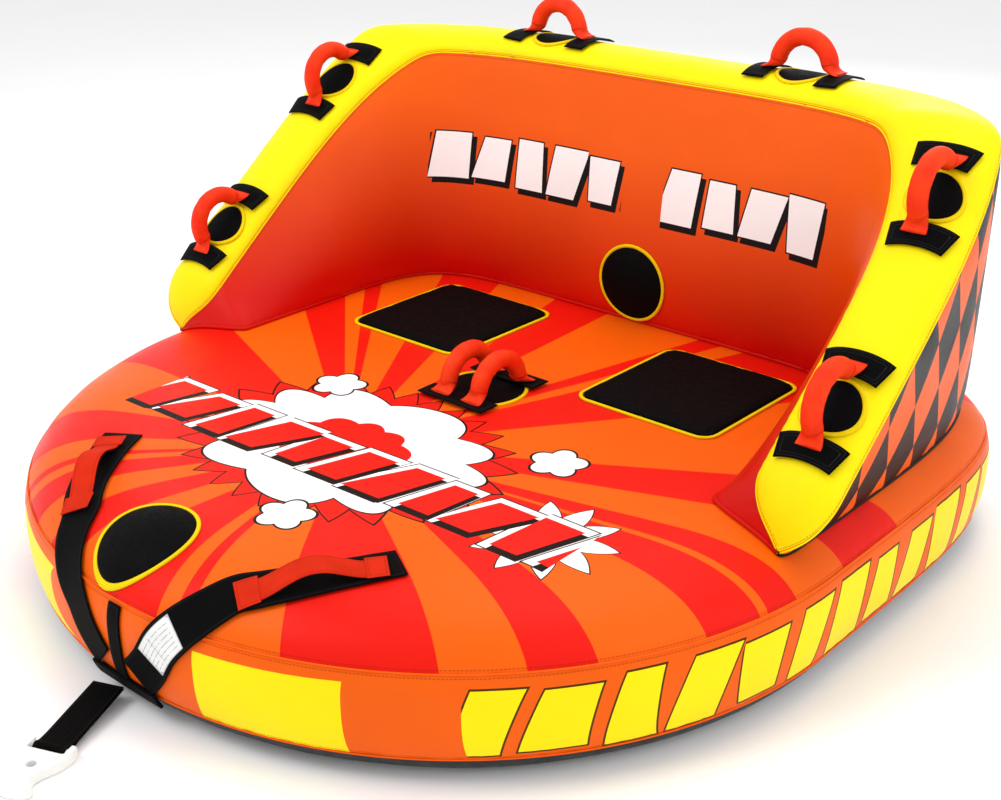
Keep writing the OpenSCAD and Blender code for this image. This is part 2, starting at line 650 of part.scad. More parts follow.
// ---- zips that close the covers round the bladders; local X is along, local Z is out ----
zip_len = 500;
zip_travel = 460;
module zip_tape() color("#222222") {
    translate([-zip_len / 2, -15, 0]) cube([zip_len, 30, 1.2]);
    translate([-zip_len / 2, -3, 1.2]) cube([zip_len, 6, 1.6]);
}
module zip_slider() color("#b8b8bc") translate([zip_travel / 2, 0, 0]) {
    translate([-8, -7, 1.5]) difference() {
        cube([16, 14, 4.2]);
        translate([-1, 3.7, -1]) cube([18, 6.6, 2.6]);
    }
    translate([-4, -2, 5.7]) cube([30, 4, 1.6]);
}
module on_base_zip() translate([0, rear_len + 0.4, mid_h]) rotate([-90, 180, 0]) children();
module on_back_zip() {
    f = shell_back_surface(300);
    n = lifted(f, 0, 0, 1) - f(0, 0);
    translate(lifted(f, 0, 0, 0.4)) rotate([atan2(-n[1], n[2]), 0, 0]) rotate([0, 0, 180])
        children();
}
module base_zip_tape() on_base_zip() zip_tape();
module base_zip_slider() on_base_zip() zip_slider();
module back_zip_tape() on_back_zip() zip_tape();
module back_zip_slider() on_back_zip() zip_slider();

base_bladder();
back_bladder();
base_baffles();
deck_panel();
side_band();
bottom_panel();
backrest_panel();
rim_panel();
outer_panel();
seat_pad_left();
seat_pad_right();
seat_binding_left();
seat_binding_right();
centre_pad();
centre_binding();
centre_anchors();
centre_grip_left();
centre_grip_right();
centre_core_left();
centre_core_right();
rim_pads();
rim_bindings();
rim_anchors();
lower_grip_left();
lower_grip_right();
upper_grip_left();
upper_grip_right();
back_grip_left();
back_grip_right();
lower_core_left();
lower_core_right();
upper_core_left();
upper_core_right();
back_core_left();
back_core_right();
front_cover();
front_cover_binding();
front_valve();
front_valve_flap();
front_valve_cap();
back_cover();
back_cover_binding();
back_valve();
back_valve_flap();
back_valve_cap();
harness_leg_left();
harness_leg_right();
harness_handle_left();
harness_handle_right();
keeper_strap();
nose_gusset();
label_patch();
tow_strap();
tow_hook();
base_zip_tape();
base_zip_slider();
back_zip_tape();
back_zip_slider();
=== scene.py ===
"""Looks for a two-rider sofa-style towable tube: sewn covers, pads, handles, harness and hook."""

import math

import bmesh
import bpy
import numpy as np
from mathutils import Matrix, Vector


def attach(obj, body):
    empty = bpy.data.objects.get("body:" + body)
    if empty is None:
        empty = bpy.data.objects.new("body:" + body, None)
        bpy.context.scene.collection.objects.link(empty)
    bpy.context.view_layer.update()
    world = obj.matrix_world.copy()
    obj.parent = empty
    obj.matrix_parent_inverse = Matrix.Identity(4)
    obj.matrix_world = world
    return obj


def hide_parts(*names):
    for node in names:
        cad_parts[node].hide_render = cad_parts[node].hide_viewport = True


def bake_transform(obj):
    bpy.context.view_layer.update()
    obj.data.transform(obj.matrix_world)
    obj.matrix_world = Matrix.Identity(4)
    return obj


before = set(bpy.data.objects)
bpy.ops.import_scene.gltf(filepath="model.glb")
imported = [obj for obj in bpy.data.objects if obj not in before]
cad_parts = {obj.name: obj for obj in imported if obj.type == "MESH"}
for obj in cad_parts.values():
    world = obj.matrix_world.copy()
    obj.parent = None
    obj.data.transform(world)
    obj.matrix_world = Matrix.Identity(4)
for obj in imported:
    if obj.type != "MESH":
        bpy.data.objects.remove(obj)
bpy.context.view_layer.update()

# ---------------------------------------------------------------- camera, light, floor
CAM_AT = Vector((1.7278, -1.8875, 1.3821))
CAM_TURN, CAM_DROP, CAM_ROLL, CAM_LENS = 41.31, 23.78, -0.25, 53.6


def make_camera():
    az, el, roll = (math.radians(a) for a in (CAM_TURN, CAM_DROP, CAM_ROLL))
    ahead = Vector((-math.sin(az) * math.cos(el), math.cos(az) * math.cos(el), -math.sin(el)))
    right = Vector((math.cos(az), math.sin(az), 0))
    up = right.cross(ahead)
    side = right * math.cos(roll) + up * math.sin(roll)
    top = up * math.cos(roll) - right * math.sin(roll)
    data = bpy.data.cameras.new("camera")
    data.lens, data.sensor_width, data.clip_end = CAM_LENS, 36, 50
    cam = bpy.data.objects.new("camera", data)
    cam.matrix_world = Matrix.Translation(CAM_AT) @ Matrix(
        [[side[i], top[i], -ahead[i]] for i in range(3)]).to_4x4()
    bpy.context.scene.collection.objects.link(cam)
    bpy.context.scene.camera = cam


def make_light(name, at, aim, size, watts, tint=(1, 1, 1)):
    data = bpy.data.lights.new(name, "AREA")
    data.shape, data.size, data.energy, data.color = "DISK", size, watts, tint
    lamp = bpy.data.objects.new(name, data)
    lamp.location = at
    lamp.rotation_euler = (Vector(aim) - Vector(at)).to_track_quat("-Z", "Y").to_euler()
    bpy.context.scene.collection.objects.link(lamp)


make_camera()
make_light("key", (-1.6, -2.6, 3.6), (0, 0, 0.3), 2.2, 62)
make_light("fill", (3.4, 0.2, 2.4), (0, 0, 0.3), 2.6, 27)
make_light("top", (0.2, 0.8, 4.0), (0, 0, 0.2), 2.6, 43)
make_light("rear", (-1.0, 3.8, 2.2), (0, 0, 0.4), 2.4, 27)
world = bpy.data.worlds.new("studio")
world.use_nodes = True
world.node_tree.nodes["Background"].inputs["Color"].default_value = (1, 1, 1, 1)
world.node_tree.nodes["Background"].inputs["Strength"].default_value = 0.84
bpy.context.scene.world = world
bpy.context.scene.view_settings.view_transform = "Standard"

# ---------------------------------------------------------------- the tube's surfaces, in mm
HALF_W, NOSE, REAR, BASE_H = 798.0, 817.0, 817.0, 267.0
DECK_ROUND, UNDER_ROUND, REAR_SQUARE, FRONT_POWER, EDGE_POWER = 212.0, 86.0, 5.0, 2.04, 2.55
WIDE_Y, MID_H = -31.0, BASE_H / 2
ARM_SLOPE, BACK_SEAM_H, RIM_RISE, RIM_HALF = math.radians(39.2), 770.0, 38.0, 72.0
ARM_MID, BACK_MID = 731.0, 614.0
FOOT_OUT, FOOT_IN = (742.0, 760.0, 5.0), (580.0, 507.0, 7.0)
RIM_IN = (ARM_MID - RIM_HALF, BACK_MID - RIM_HALF, 4.1)
RIM_OUT = (ARM_MID + RIM_HALF, BACK_MID + RIM_HALF, 4.2)
CROWN_POWER, INNER_SWELL, OUTER_SWELL, SWELL_H = 2.1, -24.0, 10.0, 300.0
TOE_Y, TOE_LEN, ARM_SEAM_H, SLOPE_BLEND, FOOT_GAP = -112.0, 50.0, BASE_H + 124, 18.0, 3.0
SEAM_TOP_H, SEAM_LOW_H = BASE_H - 75, 45.0
COVER_T = 1.5


def blend(a, b, t):
    return a + (b - a) * t


def spow(v, p):
    return np.maximum(v, 0) ** p


def unit(v):
    return v / np.maximum(np.linalg.norm(v, axis=-1, keepdims=True), 1e-9)


def cosd(a):
    return np.cos(np.radians(a))


def sind(a):
    return np.sin(np.radians(a))


def super_radius(phi, w, l, n):
    return (np.abs(cosd(phi) / w) ** n + np.abs(sind(phi) / l) ** n) ** (-1 / n)


def around(phi, r):
    return np.stack([r * cosd(phi), WIDE_Y + r * sind(phi)], -1)


def outline_r(phi):
    return np.where(sind(phi) > 0, super_radius(phi, HALF_W, REAR - WIDE_Y, REAR_SQUARE),
                    super_radius(phi, HALF_W, NOSE + WIDE_Y, FRONT_POWER))


def outline_xy(phi):
    return around(phi, outline_r(phi))


def outline_normal(phi):
    t = outline_xy(phi + 0.2) - outline_xy(phi - 0.2)
    return unit(np.stack([t[..., 1], -t[..., 0]], -1))


def raw_profile(a):
    reach = np.where(a >= 0, DECK_ROUND, UNDER_ROUND)
    return np.stack([reach * (1 - spow(cosd(a), 2 / EDGE_POWER)),
                     MID_H + MID_H * np.sign(a) * spow(np.abs(sind(a)), 2 / EDGE_POWER)], -1)


def profile(a, off):
    t = raw_profile(a + 0.5) - raw_profile(a - 0.5)
    n = unit(np.stack([-t[..., 1], t[..., 0]], -1))
    flat = np.stack([np.zeros_like(a), np.sign(a)], -1)
    return raw_profile(a) + off * np.where(np.abs(a)[..., None] > 89, flat, n)


def profile_angle(z):
    return math.degrees(math.copysign(math.asin((abs(z - MID_H) / MID_H) ** (EDGE_POWER / 2)), z - MID_H))


def base_point(phi, a, off=0.0):
    phi, a = np.broadcast_arrays(np.asarray(phi, float), np.asarray(a, float))
    p = profile(a, off)
    q = outline_xy(phi) - p[..., :1] * outline_normal(phi)
    return np.concatenate([q, p[..., 1:]], -1)


def deck_height(inset):
    u = 1 - np.clip(inset / DECK_ROUND, 0, 1)
    return MID_H + MID_H * spow(1 - u ** EDGE_POWER, 1 / EDGE_POWER)


def inset_at(phi, r):
    n = outline_normal(phi)
    return (outline_r(phi) - r) * (n[..., 0] * cosd(phi) + n[..., 1] * sind(phi))


def polar(x, y):
    return np.degrees(np.arctan2(y - WIDE_Y, x)), np.hypot(x, y - WIDE_Y)


def deck_surface(x0, y0):
    def f(u, v):
        x, y = x0 + u, y0 + v
        phi, r = polar(x, y)
        return np.stack([x, y, deck_height(inset_at(phi, r))], -1)
    return f


def seam_height(y):
    a, b = ARM_SEAM_H + math.tan(ARM_SLOPE) * y, BACK_SEAM_H
    h = np.maximum(SLOPE_BLEND - np.abs(a - b), 0) / SLOPE_BLEND
    return np.minimum(a, b) - h * h * SLOPE_BLEND / 4


def wall_r(phi, kind):
    return super_radius(phi, kind[0], kind[1] - WIDE_Y, kind[2])


def rim_mid_r(phi):
    return (wall_r(phi, RIM_IN) + wall_r(phi, RIM_OUT)) / 2


def toe(phi):
    u = np.clip((around(phi, rim_mid_r(phi))[..., 1] - TOE_Y) / TOE_LEN, 0, 1)
    return np.sqrt(1 - (1 - u) ** 2)


def foot_z(phi, r):
    return deck_height(inset_at(phi, r)) + FOOT_GAP


def low_z(phi, foot):
    return foot_z(phi, blend(rim_mid_r(phi), foot, toe(phi)))


def side_xyz(phi, foot_kind, seam_kind, amount, s):
    """A point of a side panel: s runs from 0 at its foot to 1 at its seam."""
    w, mid, foot = toe(phi), rim_mid_r(phi), wall_r(phi, foot_kind)
    low = low_z(phi, foot)
    flat = blend(blend(mid, foot, w), blend(mid, wall_r(phi, seam_kind), w), s)
    top = blend(low, seam_height(around(phi, flat)[..., 1]), w)
    t = s ** 0.7
    q = around(phi, flat + amount * np.minimum(1, (top - low) / SWELL_H) * 4 * t * (1 - t))
    return np.concatenate([q, blend(low, top, s)[..., None]], -1)


def crown_xyz(phi, beta):
    w = toe(phi)
    c = spow(np.abs(cosd(beta)), 2 / CROWN_POWER) * np.sign(cosd(beta))
    r = rim_mid_r(phi) - w * (wall_r(phi, RIM_OUT) - wall_r(phi, RIM_IN)) / 2 * c
    q = around(phi, r)
    low = blend(low_z(phi, wall_r(phi, FOOT_OUT)), low_z(phi, wall_r(phi, FOOT_IN)), (1 + c) / 2)
    z = blend(low, seam_height(q[..., 1]), w) + RIM_RISE * w * spow(sind(beta), 2 / CROWN_POWER)
    return np.concatenate([q, z[..., None]], -1)


def rim_top(x, y):
    phi, r = polar(np.abs(x), y)
    half = (wall_r(phi, RIM_OUT) - wall_r(phi, RIM_IN)) / 2
    q = np.minimum(1, np.abs(r - rim_mid_r(phi)) / half)
    z = seam_height(y) + RIM_RISE * spow(1 - q ** CROWN_POWER, 1 / CROWN_POWER)
    return np.stack([x + 0 * z, y + 0 * z, z], -1)


def arm_surface(side, y0):
    def f(u, v):
        y = y0 + u * math.cos(ARM_SLOPE)
        t = np.clip((y - WIDE_Y) / (BACK_MID - WIDE_Y), 0, 1)
        return rim_top(side * ARM_MID * (1 - t ** RIM_IN[2]) ** (1 / RIM_IN[2]) - v, y)
    return f


def back_surface(x0):
    def f(u, v):
        x = x0 + u
        y = WIDE_Y + (BACK_MID - WIDE_Y) * (1 - (np.abs(x) / ARM_MID) ** RIM_IN[2]) ** (1 / RIM_IN[2])
        return rim_top(x, y + v)
    return f


def panel_surface(foot_y, seam_y, amount, z0, sign):
    def f(u, v):
        h = BACK_SEAM_H - BASE_H
        s = np.clip((z0 + v - BASE_H) / h, 0.001, 1)
        t = s ** 0.7
        y = blend(foot_y, seam_y, s) + amount * min(1, h / SWELL_H) * 4 * t * (1 - t)
        return np.stack([sign * u + 0 * y, y, z0 + v + 0 * y], -1)
    return f


def lifted(f, u, v, off):
    u, v = np.asarray(u, float), np.asarray(v, float)
    p = f(u, v)
    n = unit(np.cross(f(u + 1, v) - p, f(u, v + 1) - p))
    return p + np.asarray(off, float)[..., None] * n


# ---------------------------------------------------------------- meshes
def ripple(s, seed, waves=(19.0, 29.0, 47.0, 83.0)):
    """Smooth uneven waves along a seam, about -1 to 1, the same each run; s is in mm."""
    out = 0
    for k, w in enumerate(waves):
        sway = 1.8 * np.sin(2 * np.pi * s / (w * 4.3) + seed)
        out = out + np.sin(2 * np.pi * s / w + seed * (k + 1.7) + sway)
    return out / len(waves) * 1.4


def grid_normals(P, loop_u=False, sign=1.0):
    if loop_u:
        du = np.roll(P, -1, 0) - np.roll(P, 1, 0)
    else:
        du = np.gradient(P, axis=0)
    dv = np.gradient(P, axis=1)
    return sign * unit(np.cross(du, dv))


def new_object(name, verts_mm, faces, smooth=True):
    mesh = bpy.data.meshes.new(name)
    mesh.from_pydata((np.asarray(verts_mm, float) * 0.001).tolist(), [], faces)
    mesh.validate()
    if smooth:
        mesh.polygons.foreach_set("use_smooth", [True] * len(mesh.polygons))
    o = bpy.data.objects.new(name, mesh)
    bpy.context.scene.collection.objects.link(o)
    return o


def set_cloth(o, uv_mm, edge_mm=None):
    """Cloth coordinates in metres along and across the piece, and the distance to its nearest sewn edge."""
    layer = o.data.uv_layers.new(name="cloth")
    loops = np.zeros(len(o.data.loops), np.int32)
    o.data.loops.foreach_get("vertex_index", loops)
    layer.data.foreach_set("uv", (np.asarray(uv_mm, float)[loops] * 0.001).astype(np.float32).ravel())
    if edge_mm is not None:
        a = o.data.attributes.new("edge", "FLOAT", "POINT")
        a.data.foreach_set("value", (np.asarray(edge_mm, float) * 0.001).astype(np.float32).ravel())


def grid_faces(n, m, loop_u=False, loop_v=False, flip=False):
    i, j = np.meshgrid(np.arange(n if loop_u else n - 1), np.arange(m if loop_v else m - 1), indexing="ij")
    a, b = i * m + j, i * m + (j + 1) % m
    c, d = ((i + 1) % n) * m + (j + 1) % m, ((i + 1) % n) * m + j
    q = np.stack([a, b, c, d] if flip else [a, d, c, b], -1).reshape(-1, 4)
    return q.tolist()


def thicken(o, t_mm):
    """Gives a fabric surface its thickness inwards, as final mesh."""
    m = o.modifiers.new("thickness", "SOLIDIFY")
    m.thickness, m.offset, m.use_even_offset = t_mm * 0.001, -1, False
    bake(o)


def bake(o):
    """Applies every modifier of o."""
    dg = bpy.context.evaluated_depsgraph_get()
    mesh = bpy.data.meshes.new_from_object(o.evaluated_get(dg), depsgraph=dg)
    o.modifiers.clear()
    o.data = mesh


def cut_hole(o, at, normal, r_mm):
    """Cuts a round valve opening through o."""
    n = 64
    z = Vector(normal).normalized()
    x = z.orthogonal().normalized()
    y = z.cross(x)
    turn = [2 * math.pi * k / n for k in range(n)]
    ring = [(x * math.cos(a) + y * math.sin(a)) * r_mm for a in turn]
    verts = [Vector(at) + p + z * h for h in (-20, 20) for p in ring]
    faces = [[k, (k + 1) % n, n + (k + 1) % n, n + k] for k in range(n)]
    faces += [list(range(n - 1, -1, -1)), list(range(n, 2 * n))]
    cutter = new_object("cutter", [tuple(v) for v in verts], faces)
    m = o.modifiers.new("hole", "BOOLEAN")
    m.operation, m.solver, m.object = "DIFFERENCE", "EXACT", cutter
    bake(o)
    bpy.data.objects.remove(cutter)


def face_outwards(o):
    b = bmesh.new()
    b.from_mesh(o.data)
    bmesh.ops.recalc_face_normals(b, faces=b.faces)
    b.to_mesh(o.data)
    b.free()


def finish_piece(o, body, nodes=(), mat=None):
    face_outwards(o)
    if mat is not None:
        o.data.materials.clear()
        o.data.materials.append(mat)
    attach(o, body)
    if nodes:
        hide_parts(*nodes)
    return o


def arc(P, axis):
    """Running length in mm along an axis of a grid of points."""
    step = np.linalg.norm(np.diff(P, axis=axis), axis=-1)
    pad = np.zeros_like(np.take(step, [0], axis=axis))
    return np.cumsum(np.concatenate([pad, step], axis=axis), axis=axis)


def tube(name, path, r, sides=10, closed=False):
    """A round piping or bead along a path, in mm."""
    path = np.asarray(path, float)
    t = unit(np.roll(path, -1, 0) - np.roll(path, 1, 0)) if closed else unit(np.gradient(path, axis=0))
    up = np.tile(np.array([[0.0, 0.0, 1.0]]), (len(path), 1))
    side = unit(np.cross(t, up))
    top = np.cross(side, t)
    a = np.linspace(0, 2 * np.pi, sides, endpoint=False)
    P = path[:, None] + r * (np.cos(a)[None, :, None] * side[:, None]
                             + np.sin(a)[None, :, None] * top[:, None])
    n, m = len(path), sides
    faces = grid_faces(n, m, loop_u=closed, loop_v=True, flip=True)
    if not closed:
        faces += [list(range(m)), list(range((n - 1) * m + m - 1, (n - 1) * m - 1, -1))]
    o = new_object(name, P.reshape(-1, 3), faces)
    s = arc(path, 0)
    uv = np.stack([np.repeat(s, m), np.tile(a * r, n)], -1)
    set_cloth(o, uv, np.full(n * m, 50.0))
    return o


def ribbon(name, path, up, width, thick, body, nodes, mat, low=0.0, crown=0.35, wave=0.0, seed=1.0):
    """A webbing strap: a rounded flat section swept along path, lying on it at height low."""
    path, up = np.asarray(path, float), unit(np.asarray(up, float))
    n = len(path)
    t = unit(np.gradient(path, axis=0))
    side = unit(np.cross(t, up))
    s = arc(path, 0)
    e = thick / 2
    across = [-width / 2, -width / 2 + 0.25 * e, -width / 2 + e]
    mids = list(np.linspace(-width / 2 + e, width / 2 - e, 11))[1:-1]
    prof = [(across[0], e), (across[1], e + 0.7 * e), (across[2], thick)]
    prof += [(x, thick + crown * math.cos(math.pi * x / width)) for x in mids]
    prof += [(-across[2], thick), (-across[1], e + 0.7 * e), (-across[0], e),
             (-across[1], e - 0.7 * e), (-across[2], 0)]
    prof += [(x, 0) for x in reversed(mids)]
    prof += [(across[2], 0), (across[1], e - 0.7 * e)]
    prof = np.array(prof)
    lift = low + wave * (0.5 + 0.5 * ripple(s, seed, (61.0, 97.0)))
    P = (path[:, None] + prof[None, :, :1] * side[:, None]
         + (prof[None, :, 1:] + lift[:, None, None]) * up[:, None])
    m = len(prof)
    faces = grid_faces(n, m, loop_v=True, flip=True)
    faces += [list(range(m)), list(range((n - 1) * m + m - 1, (n - 1) * m - 1, -1))]
    o = new_object(name, P.reshape(-1, 3), faces)
    uv = np.stack([np.repeat(s, m), np.tile(prof[:, 0] + width / 2, n)], -1)
    edge = np.minimum(np.tile(width / 2 - np.abs(prof[:, 0]), n),
                      np.repeat(np.minimum(s, s[-1] - s), m))
    set_cloth(o, uv, edge)
    return finish_piece(o, body, nodes, mat)


def polar_piece(name, f, prof, sides=96, closed=False):
    """A round sewn piece over the surface f: prof lists (radius, height off the surface), in mm."""
    a = np.linspace(0, 2 * np.pi, sides, endpoint=False)
    rings = [lifted(f, r * np.cos(a), r * np.sin(a), np.full(sides, float(h))) for r, h in prof]
    P = np.stack(rings, 1)
    n, m = sides, len(prof)
    faces = grid_faces(n, m, loop_u=True, loop_v=closed, flip=True)
    if not closed:
        faces += [[i * m for i in range(n)][::-1], [i * m + m - 1 for i in range(n)]]
    o = new_object(name, P.reshape(-1, 3), faces)
    R = np.array([r for r, h in prof])
    uv = np.stack([(R[None] * np.cos(a)[:, None]).ravel(), (R[None] * np.sin(a)[:, None]).ravel()], -1)
    set_cloth(o, uv + 500, np.tile(R.max() - R, (n, 1)).ravel())
    return o


# ---------------------------------------------------------------- materials
class Nodes:
    """Builds node expressions: every method returns a socket or takes numbers and sockets."""

    def __init__(self, name, rough=0.5, spec=0.5, **fixed):
        self.mat = bpy.data.materials.new(name)
        self.mat.use_nodes = True
        self.tree = self.mat.node_tree
        self.shader = self.tree.nodes["Principled BSDF"]
        self.put("Roughness", rough)
        self.put("Specular IOR Level", spec)
        for k, v in fixed.items():
            self.put(k.replace("_", " "), v)
        self.uv = self.parts(self.new("ShaderNodeUVMap", uv_map="cloth").outputs[0])
        self.obj = self.new("ShaderNodeTexCoord").outputs["Object"]
        self.xyz = self.parts(self.obj)

    def put(self, socket, value):
        s = self.shader.inputs[socket]
        if isinstance(value, bpy.types.NodeSocket):
            self.tree.links.new(value, s)
        else:
            s.default_value = value

    def new(self, kind, **props):
        n = self.tree.nodes.new(kind)
        for k, v in props.items():
            setattr(n, k, v)
        return n

    def parts(self, socket):
        n = self.new("ShaderNodeSeparateXYZ")
        self.tree.links.new(socket, n.inputs[0])
        return n.outputs[0], n.outputs[1], n.outputs[2]

    def set(self, socket, value):
        if isinstance(value, bpy.types.NodeSocket):
            self.tree.links.new(value, socket)
        else:
            socket.default_value = value

    def math(self, op, *args):
        n = self.new("ShaderNodeMath", operation=op)
        for i, a in enumerate(args):
            self.set(n.inputs[i], a)
        return n.outputs[0]

    def add(self, a, b): return self.math("ADD", a, b)
    def sub(self, a, b): return self.math("SUBTRACT", a, b)
    def mul(self, a, b): return self.math("MULTIPLY", a, b)
    def div(self, a, b): return self.math("DIVIDE", a, b)
    def less(self, a, b): return self.math("LESS_THAN", a, b)
    def more(self, a, b): return self.math("GREATER_THAN", a, b)
    def both(self, a, b): return self.math("MULTIPLY", a, b)
    def either(self, a, b): return self.math("MAXIMUM", a, b)
    def sin(self, a, k=1.0): return self.math("SINE", self.mul(a, k))
    def wrap(self, a, p): return self.math("WRAP", a, p, 0.0)
    def size(self, a): return self.math("ABSOLUTE", a)
    def inside(self, a, lo, hi): return self.both(self.more(a, lo), self.less(a, hi))

    def mix(self, f, a, b):
        n = self.new("ShaderNodeMix", data_type="RGBA")
        self.set(n.inputs[0], f)
        self.set(n.inputs[6], a if isinstance(a, bpy.types.NodeSocket) else (*a, 1))
        self.set(n.inputs[7], b if isinstance(b, bpy.types.NodeSocket) else (*b, 1))
        return n.outputs[2]

    def noise(self, scale, detail=3.0, where=None, spread=0.5):
        n = self.new("ShaderNodeTexNoise")
        n.inputs["Scale"].default_value = scale
        n.inputs["Detail"].default_value = detail
        n.inputs["Roughness"].default_value = spread
        self.set(n.inputs["Vector"], where or self.obj)
        return n.outputs[0]

    def ramp(self, a, lo, hi, out_lo=0.0, out_hi=1.0):
        n = self.new("ShaderNodeMapRange")
        for k, v in (("From Min", lo), ("From Max", hi), ("To Min", out_lo), ("To Max", out_hi)):
            n.inputs[k].default_value = v
        self.set(n.inputs["Value"], a)
        return n.outputs[0]

    def edge(self):
        return self.new("ShaderNodeAttribute", attribute_name="edge").outputs["Fac"]

    def shade(self, colour, amount=0.08, scale=5.0):
        """Uneven dye and handling marks over a colour."""
        n = self.new("ShaderNodeHueSaturation")
        self.set(n.inputs["Value"], self.ramp(self.noise(scale, 4), 0.3, 0.7, 1 - amount, 1 + amount * 0.4))
        self.set(n.inputs["Color"], colour if isinstance(colour, bpy.types.NodeSocket) else (*colour, 1))
        return n.outputs[0]

    def bump(self, height, distance, strength=0.5):
        n = self.new("ShaderNodeBump")
        n.inputs["Distance"].default_value = distance
        n.inputs["Strength"].default_value = strength
        self.set(n.inputs["Height"], height)
        self.put("Normal", n.outputs[0])

    def weave(self, pitch):
        u, v, _ = self.uv
        k = 2 * math.pi / pitch
        return self.ramp(self.mul(self.sin(u, k), self.sin(v, k)), -1, 1)

    def twill(self, pitch):
        u, v, _ = self.uv
        k = 2 * math.pi / pitch
        rib = self.sin(self.add(u, self.mul(self.size(self.sub(self.wrap(v, 4 * pitch), 2 * pitch)), 1.0)), k)
        return self.ramp(rib, -1, 1)

    def stitches(self, at, pitch=0.006, thread=0.0009, along=None):
        """1 on a row of stitches at a distance from the sewn edge."""
        run = along if along is not None else self.uv[0]
        row = self.less(self.size(self.sub(self.edge(), at)), thread)
        return self.both(row, self.less(self.wrap(run, pitch), pitch * 0.68))


def rgb(code):
    v = [int(code[i:i + 2], 16) / 255 for i in (1, 3, 5)]
    return tuple(c / 12.92 if c <= 0.04045 else ((c + 0.055) / 1.055) ** 2.4 for c in v)


RED, ORANGE, DEEP = rgb("#e6180a"), rgb("#ef5f08"), rgb("#cc0e05")
YELLOW, BLACK, WHITE = rgb("#fbe404"), rgb("#040405"), rgb("#fbfaf9")
GRIP, INK = rgb("#ee2f10"), rgb("#030303")


def finish_cloth(b, colour, rough=0.36, weave=0.0011, wrinkle=0.0016, stitch=(0.006,)):
    """Coated nylon: fine weave, soft wrinkles and rows of seam stitching."""
    c = b.shade(colour, 0.07, 4.0)
    marks = None
    for at in stitch:
        s = b.stitches(at)
        marks = s if marks is None else b.either(marks, s)
    h = b.add(b.mul(b.weave(weave), 0.10), b.mul(b.noise(26, 3), wrinkle * 350))
    if marks is not None:
        fade = b.mul(marks, 0.45)
        c = b.mix(fade, c, rgb("#8a1c08"))
        h = b.add(h, b.mul(marks, 0.5))
    b.put("Base Color", c)
    b.put("Roughness", b.ramp(b.noise(9, 4), 0.3, 0.7, rough - 0.05, rough + 0.08))
    b.bump(h, 0.0012, 0.55)
    return b.mat


def bar_row(b, along, up, pitch, lean, half_h, half_w, vary):
    """Signed distance-like value for a row of slanted print blocks: below 0 inside a block."""
    x = b.sub(along, b.mul(up, lean))
    cell = b.math("FLOOR", b.div(x, pitch))
    w = b.add(half_w, b.mul(b.sin(cell, 2.4), vary))
    tilt = b.mul(b.mul(b.sin(cell, 3.7), 0.13), up)
    taper = b.mul(b.mul(b.sin(cell, 5.1), 0.10), up)
    dx = b.sub(b.size(b.add(b.sub(b.wrap(x, pitch), pitch / 2), tilt)), b.add(w, taper))
    tall = b.add(half_h, b.mul(b.sin(cell, 1.9), half_h * 0.09))
    return b.math("MAXIMUM", dx, b.sub(b.size(up), tall))


def deck_material():
    b = Nodes("deck_nylon", spec=0.10)
    x, y, _ = b.xyz
    cx, cy = b.sub(x, -0.02), b.sub(y, -0.31)
    turn = b.math("ARCTAN2", cy, cx)
    f = b.add(b.sin(b.add(b.mul(turn, 13), b.mul(b.sin(turn, 3), 1.7))),
              b.mul(b.sin(b.add(b.mul(turn, 29), b.mul(b.sin(turn, 5), 2.1))), 0.75))
    c = b.mix(b.more(f, 0.04), ORANGE, RED)
    # a plain splash with rounded lobes, then a smaller star at its right end
    rx = b.div(cx, 1.34)
    rho = b.math("SQRT", b.add(b.mul(rx, rx), b.mul(cy, cy)))
    lobe = b.add(0.176, b.mul(b.size(b.sin(b.add(turn, b.mul(b.sin(turn, 2), 0.3)), 5.5)), 0.040))
    burst = b.add(0.205, b.mul(b.math("PINGPONG", b.mul(turn, 13 / math.pi), 0.5), 0.085))
    c = b.mix(b.less(rho, b.add(burst, 0.005)), c, INK)
    c = b.mix(b.less(rho, burst), c, RED)
    c = b.mix(b.less(rho, b.add(lobe, 0.004)), c, INK)
    c = b.mix(b.less(rho, lobe), c, WHITE)
    core = b.add(0.085, b.mul(b.size(b.sin(turn, 4.5)), 0.014))
    c = b.mix(b.less(rho, core), c, RED)
    sx, sy = b.sub(x, 0.455), b.sub(y, -0.335)
    sr = b.math("SQRT", b.add(b.mul(sx, sx), b.mul(sy, sy)))
    st = b.math("ARCTAN2", sy, sx)
    spike = b.math("PINGPONG", b.mul(st, 10 / (2 * math.pi)), 0.5)
    edge = b.add(0.066, b.mul(spike, 0.105))
    c = b.mix(b.less(sr, b.add(edge, 0.004)), c, INK)
    c = b.mix(b.less(sr, edge), c, WHITE)
    for px, py, size in ((-0.224, -0.130, 0.036), (0.094, -0.545, 0.034), (0.305, -0.122, 0.036)):
        ax, ay = b.sub(x, px), b.sub(y, py)
        far = b.math("SQRT", b.add(b.mul(ax, ax), b.mul(ay, ay)))
        puff = b.add(size, b.mul(b.size(b.sin(b.math("ARCTAN2", ay, ax), 2.5)), size * 0.42))
        c = b.mix(b.less(far, b.add(puff, 0.005)), c, INK)
        c = b.mix(b.less(far, puff), c, WHITE)
    # a row of slanted blocks across the splash
    up = b.sub(y, b.add(-0.357, b.mul(b.sin(x, 3.1), 0.012)))
    span = b.inside(x, -0.475, 0.515)
    d = bar_row(b, x, up, 0.0980, 0.30, 0.056, 0.034, 0.005)
    dark = bar_row(b, b.sub(x, 0.008), b.add(up, 0.010), 0.0980, 0.30, 0.056, 0.034, 0.005)
    c = b.mix(b.both(span, b.less(d, 0.016)), c, INK)
    c = b.mix(b.both(span, b.less(d, 0.013)), c, WHITE)
    c = b.mix(b.both(span, b.less(dark, 0.003)), c, INK)
    c = b.mix(b.both(span, b.less(d, 0.0)), c, RED)
    return finish_cloth(b, c, 0.34)


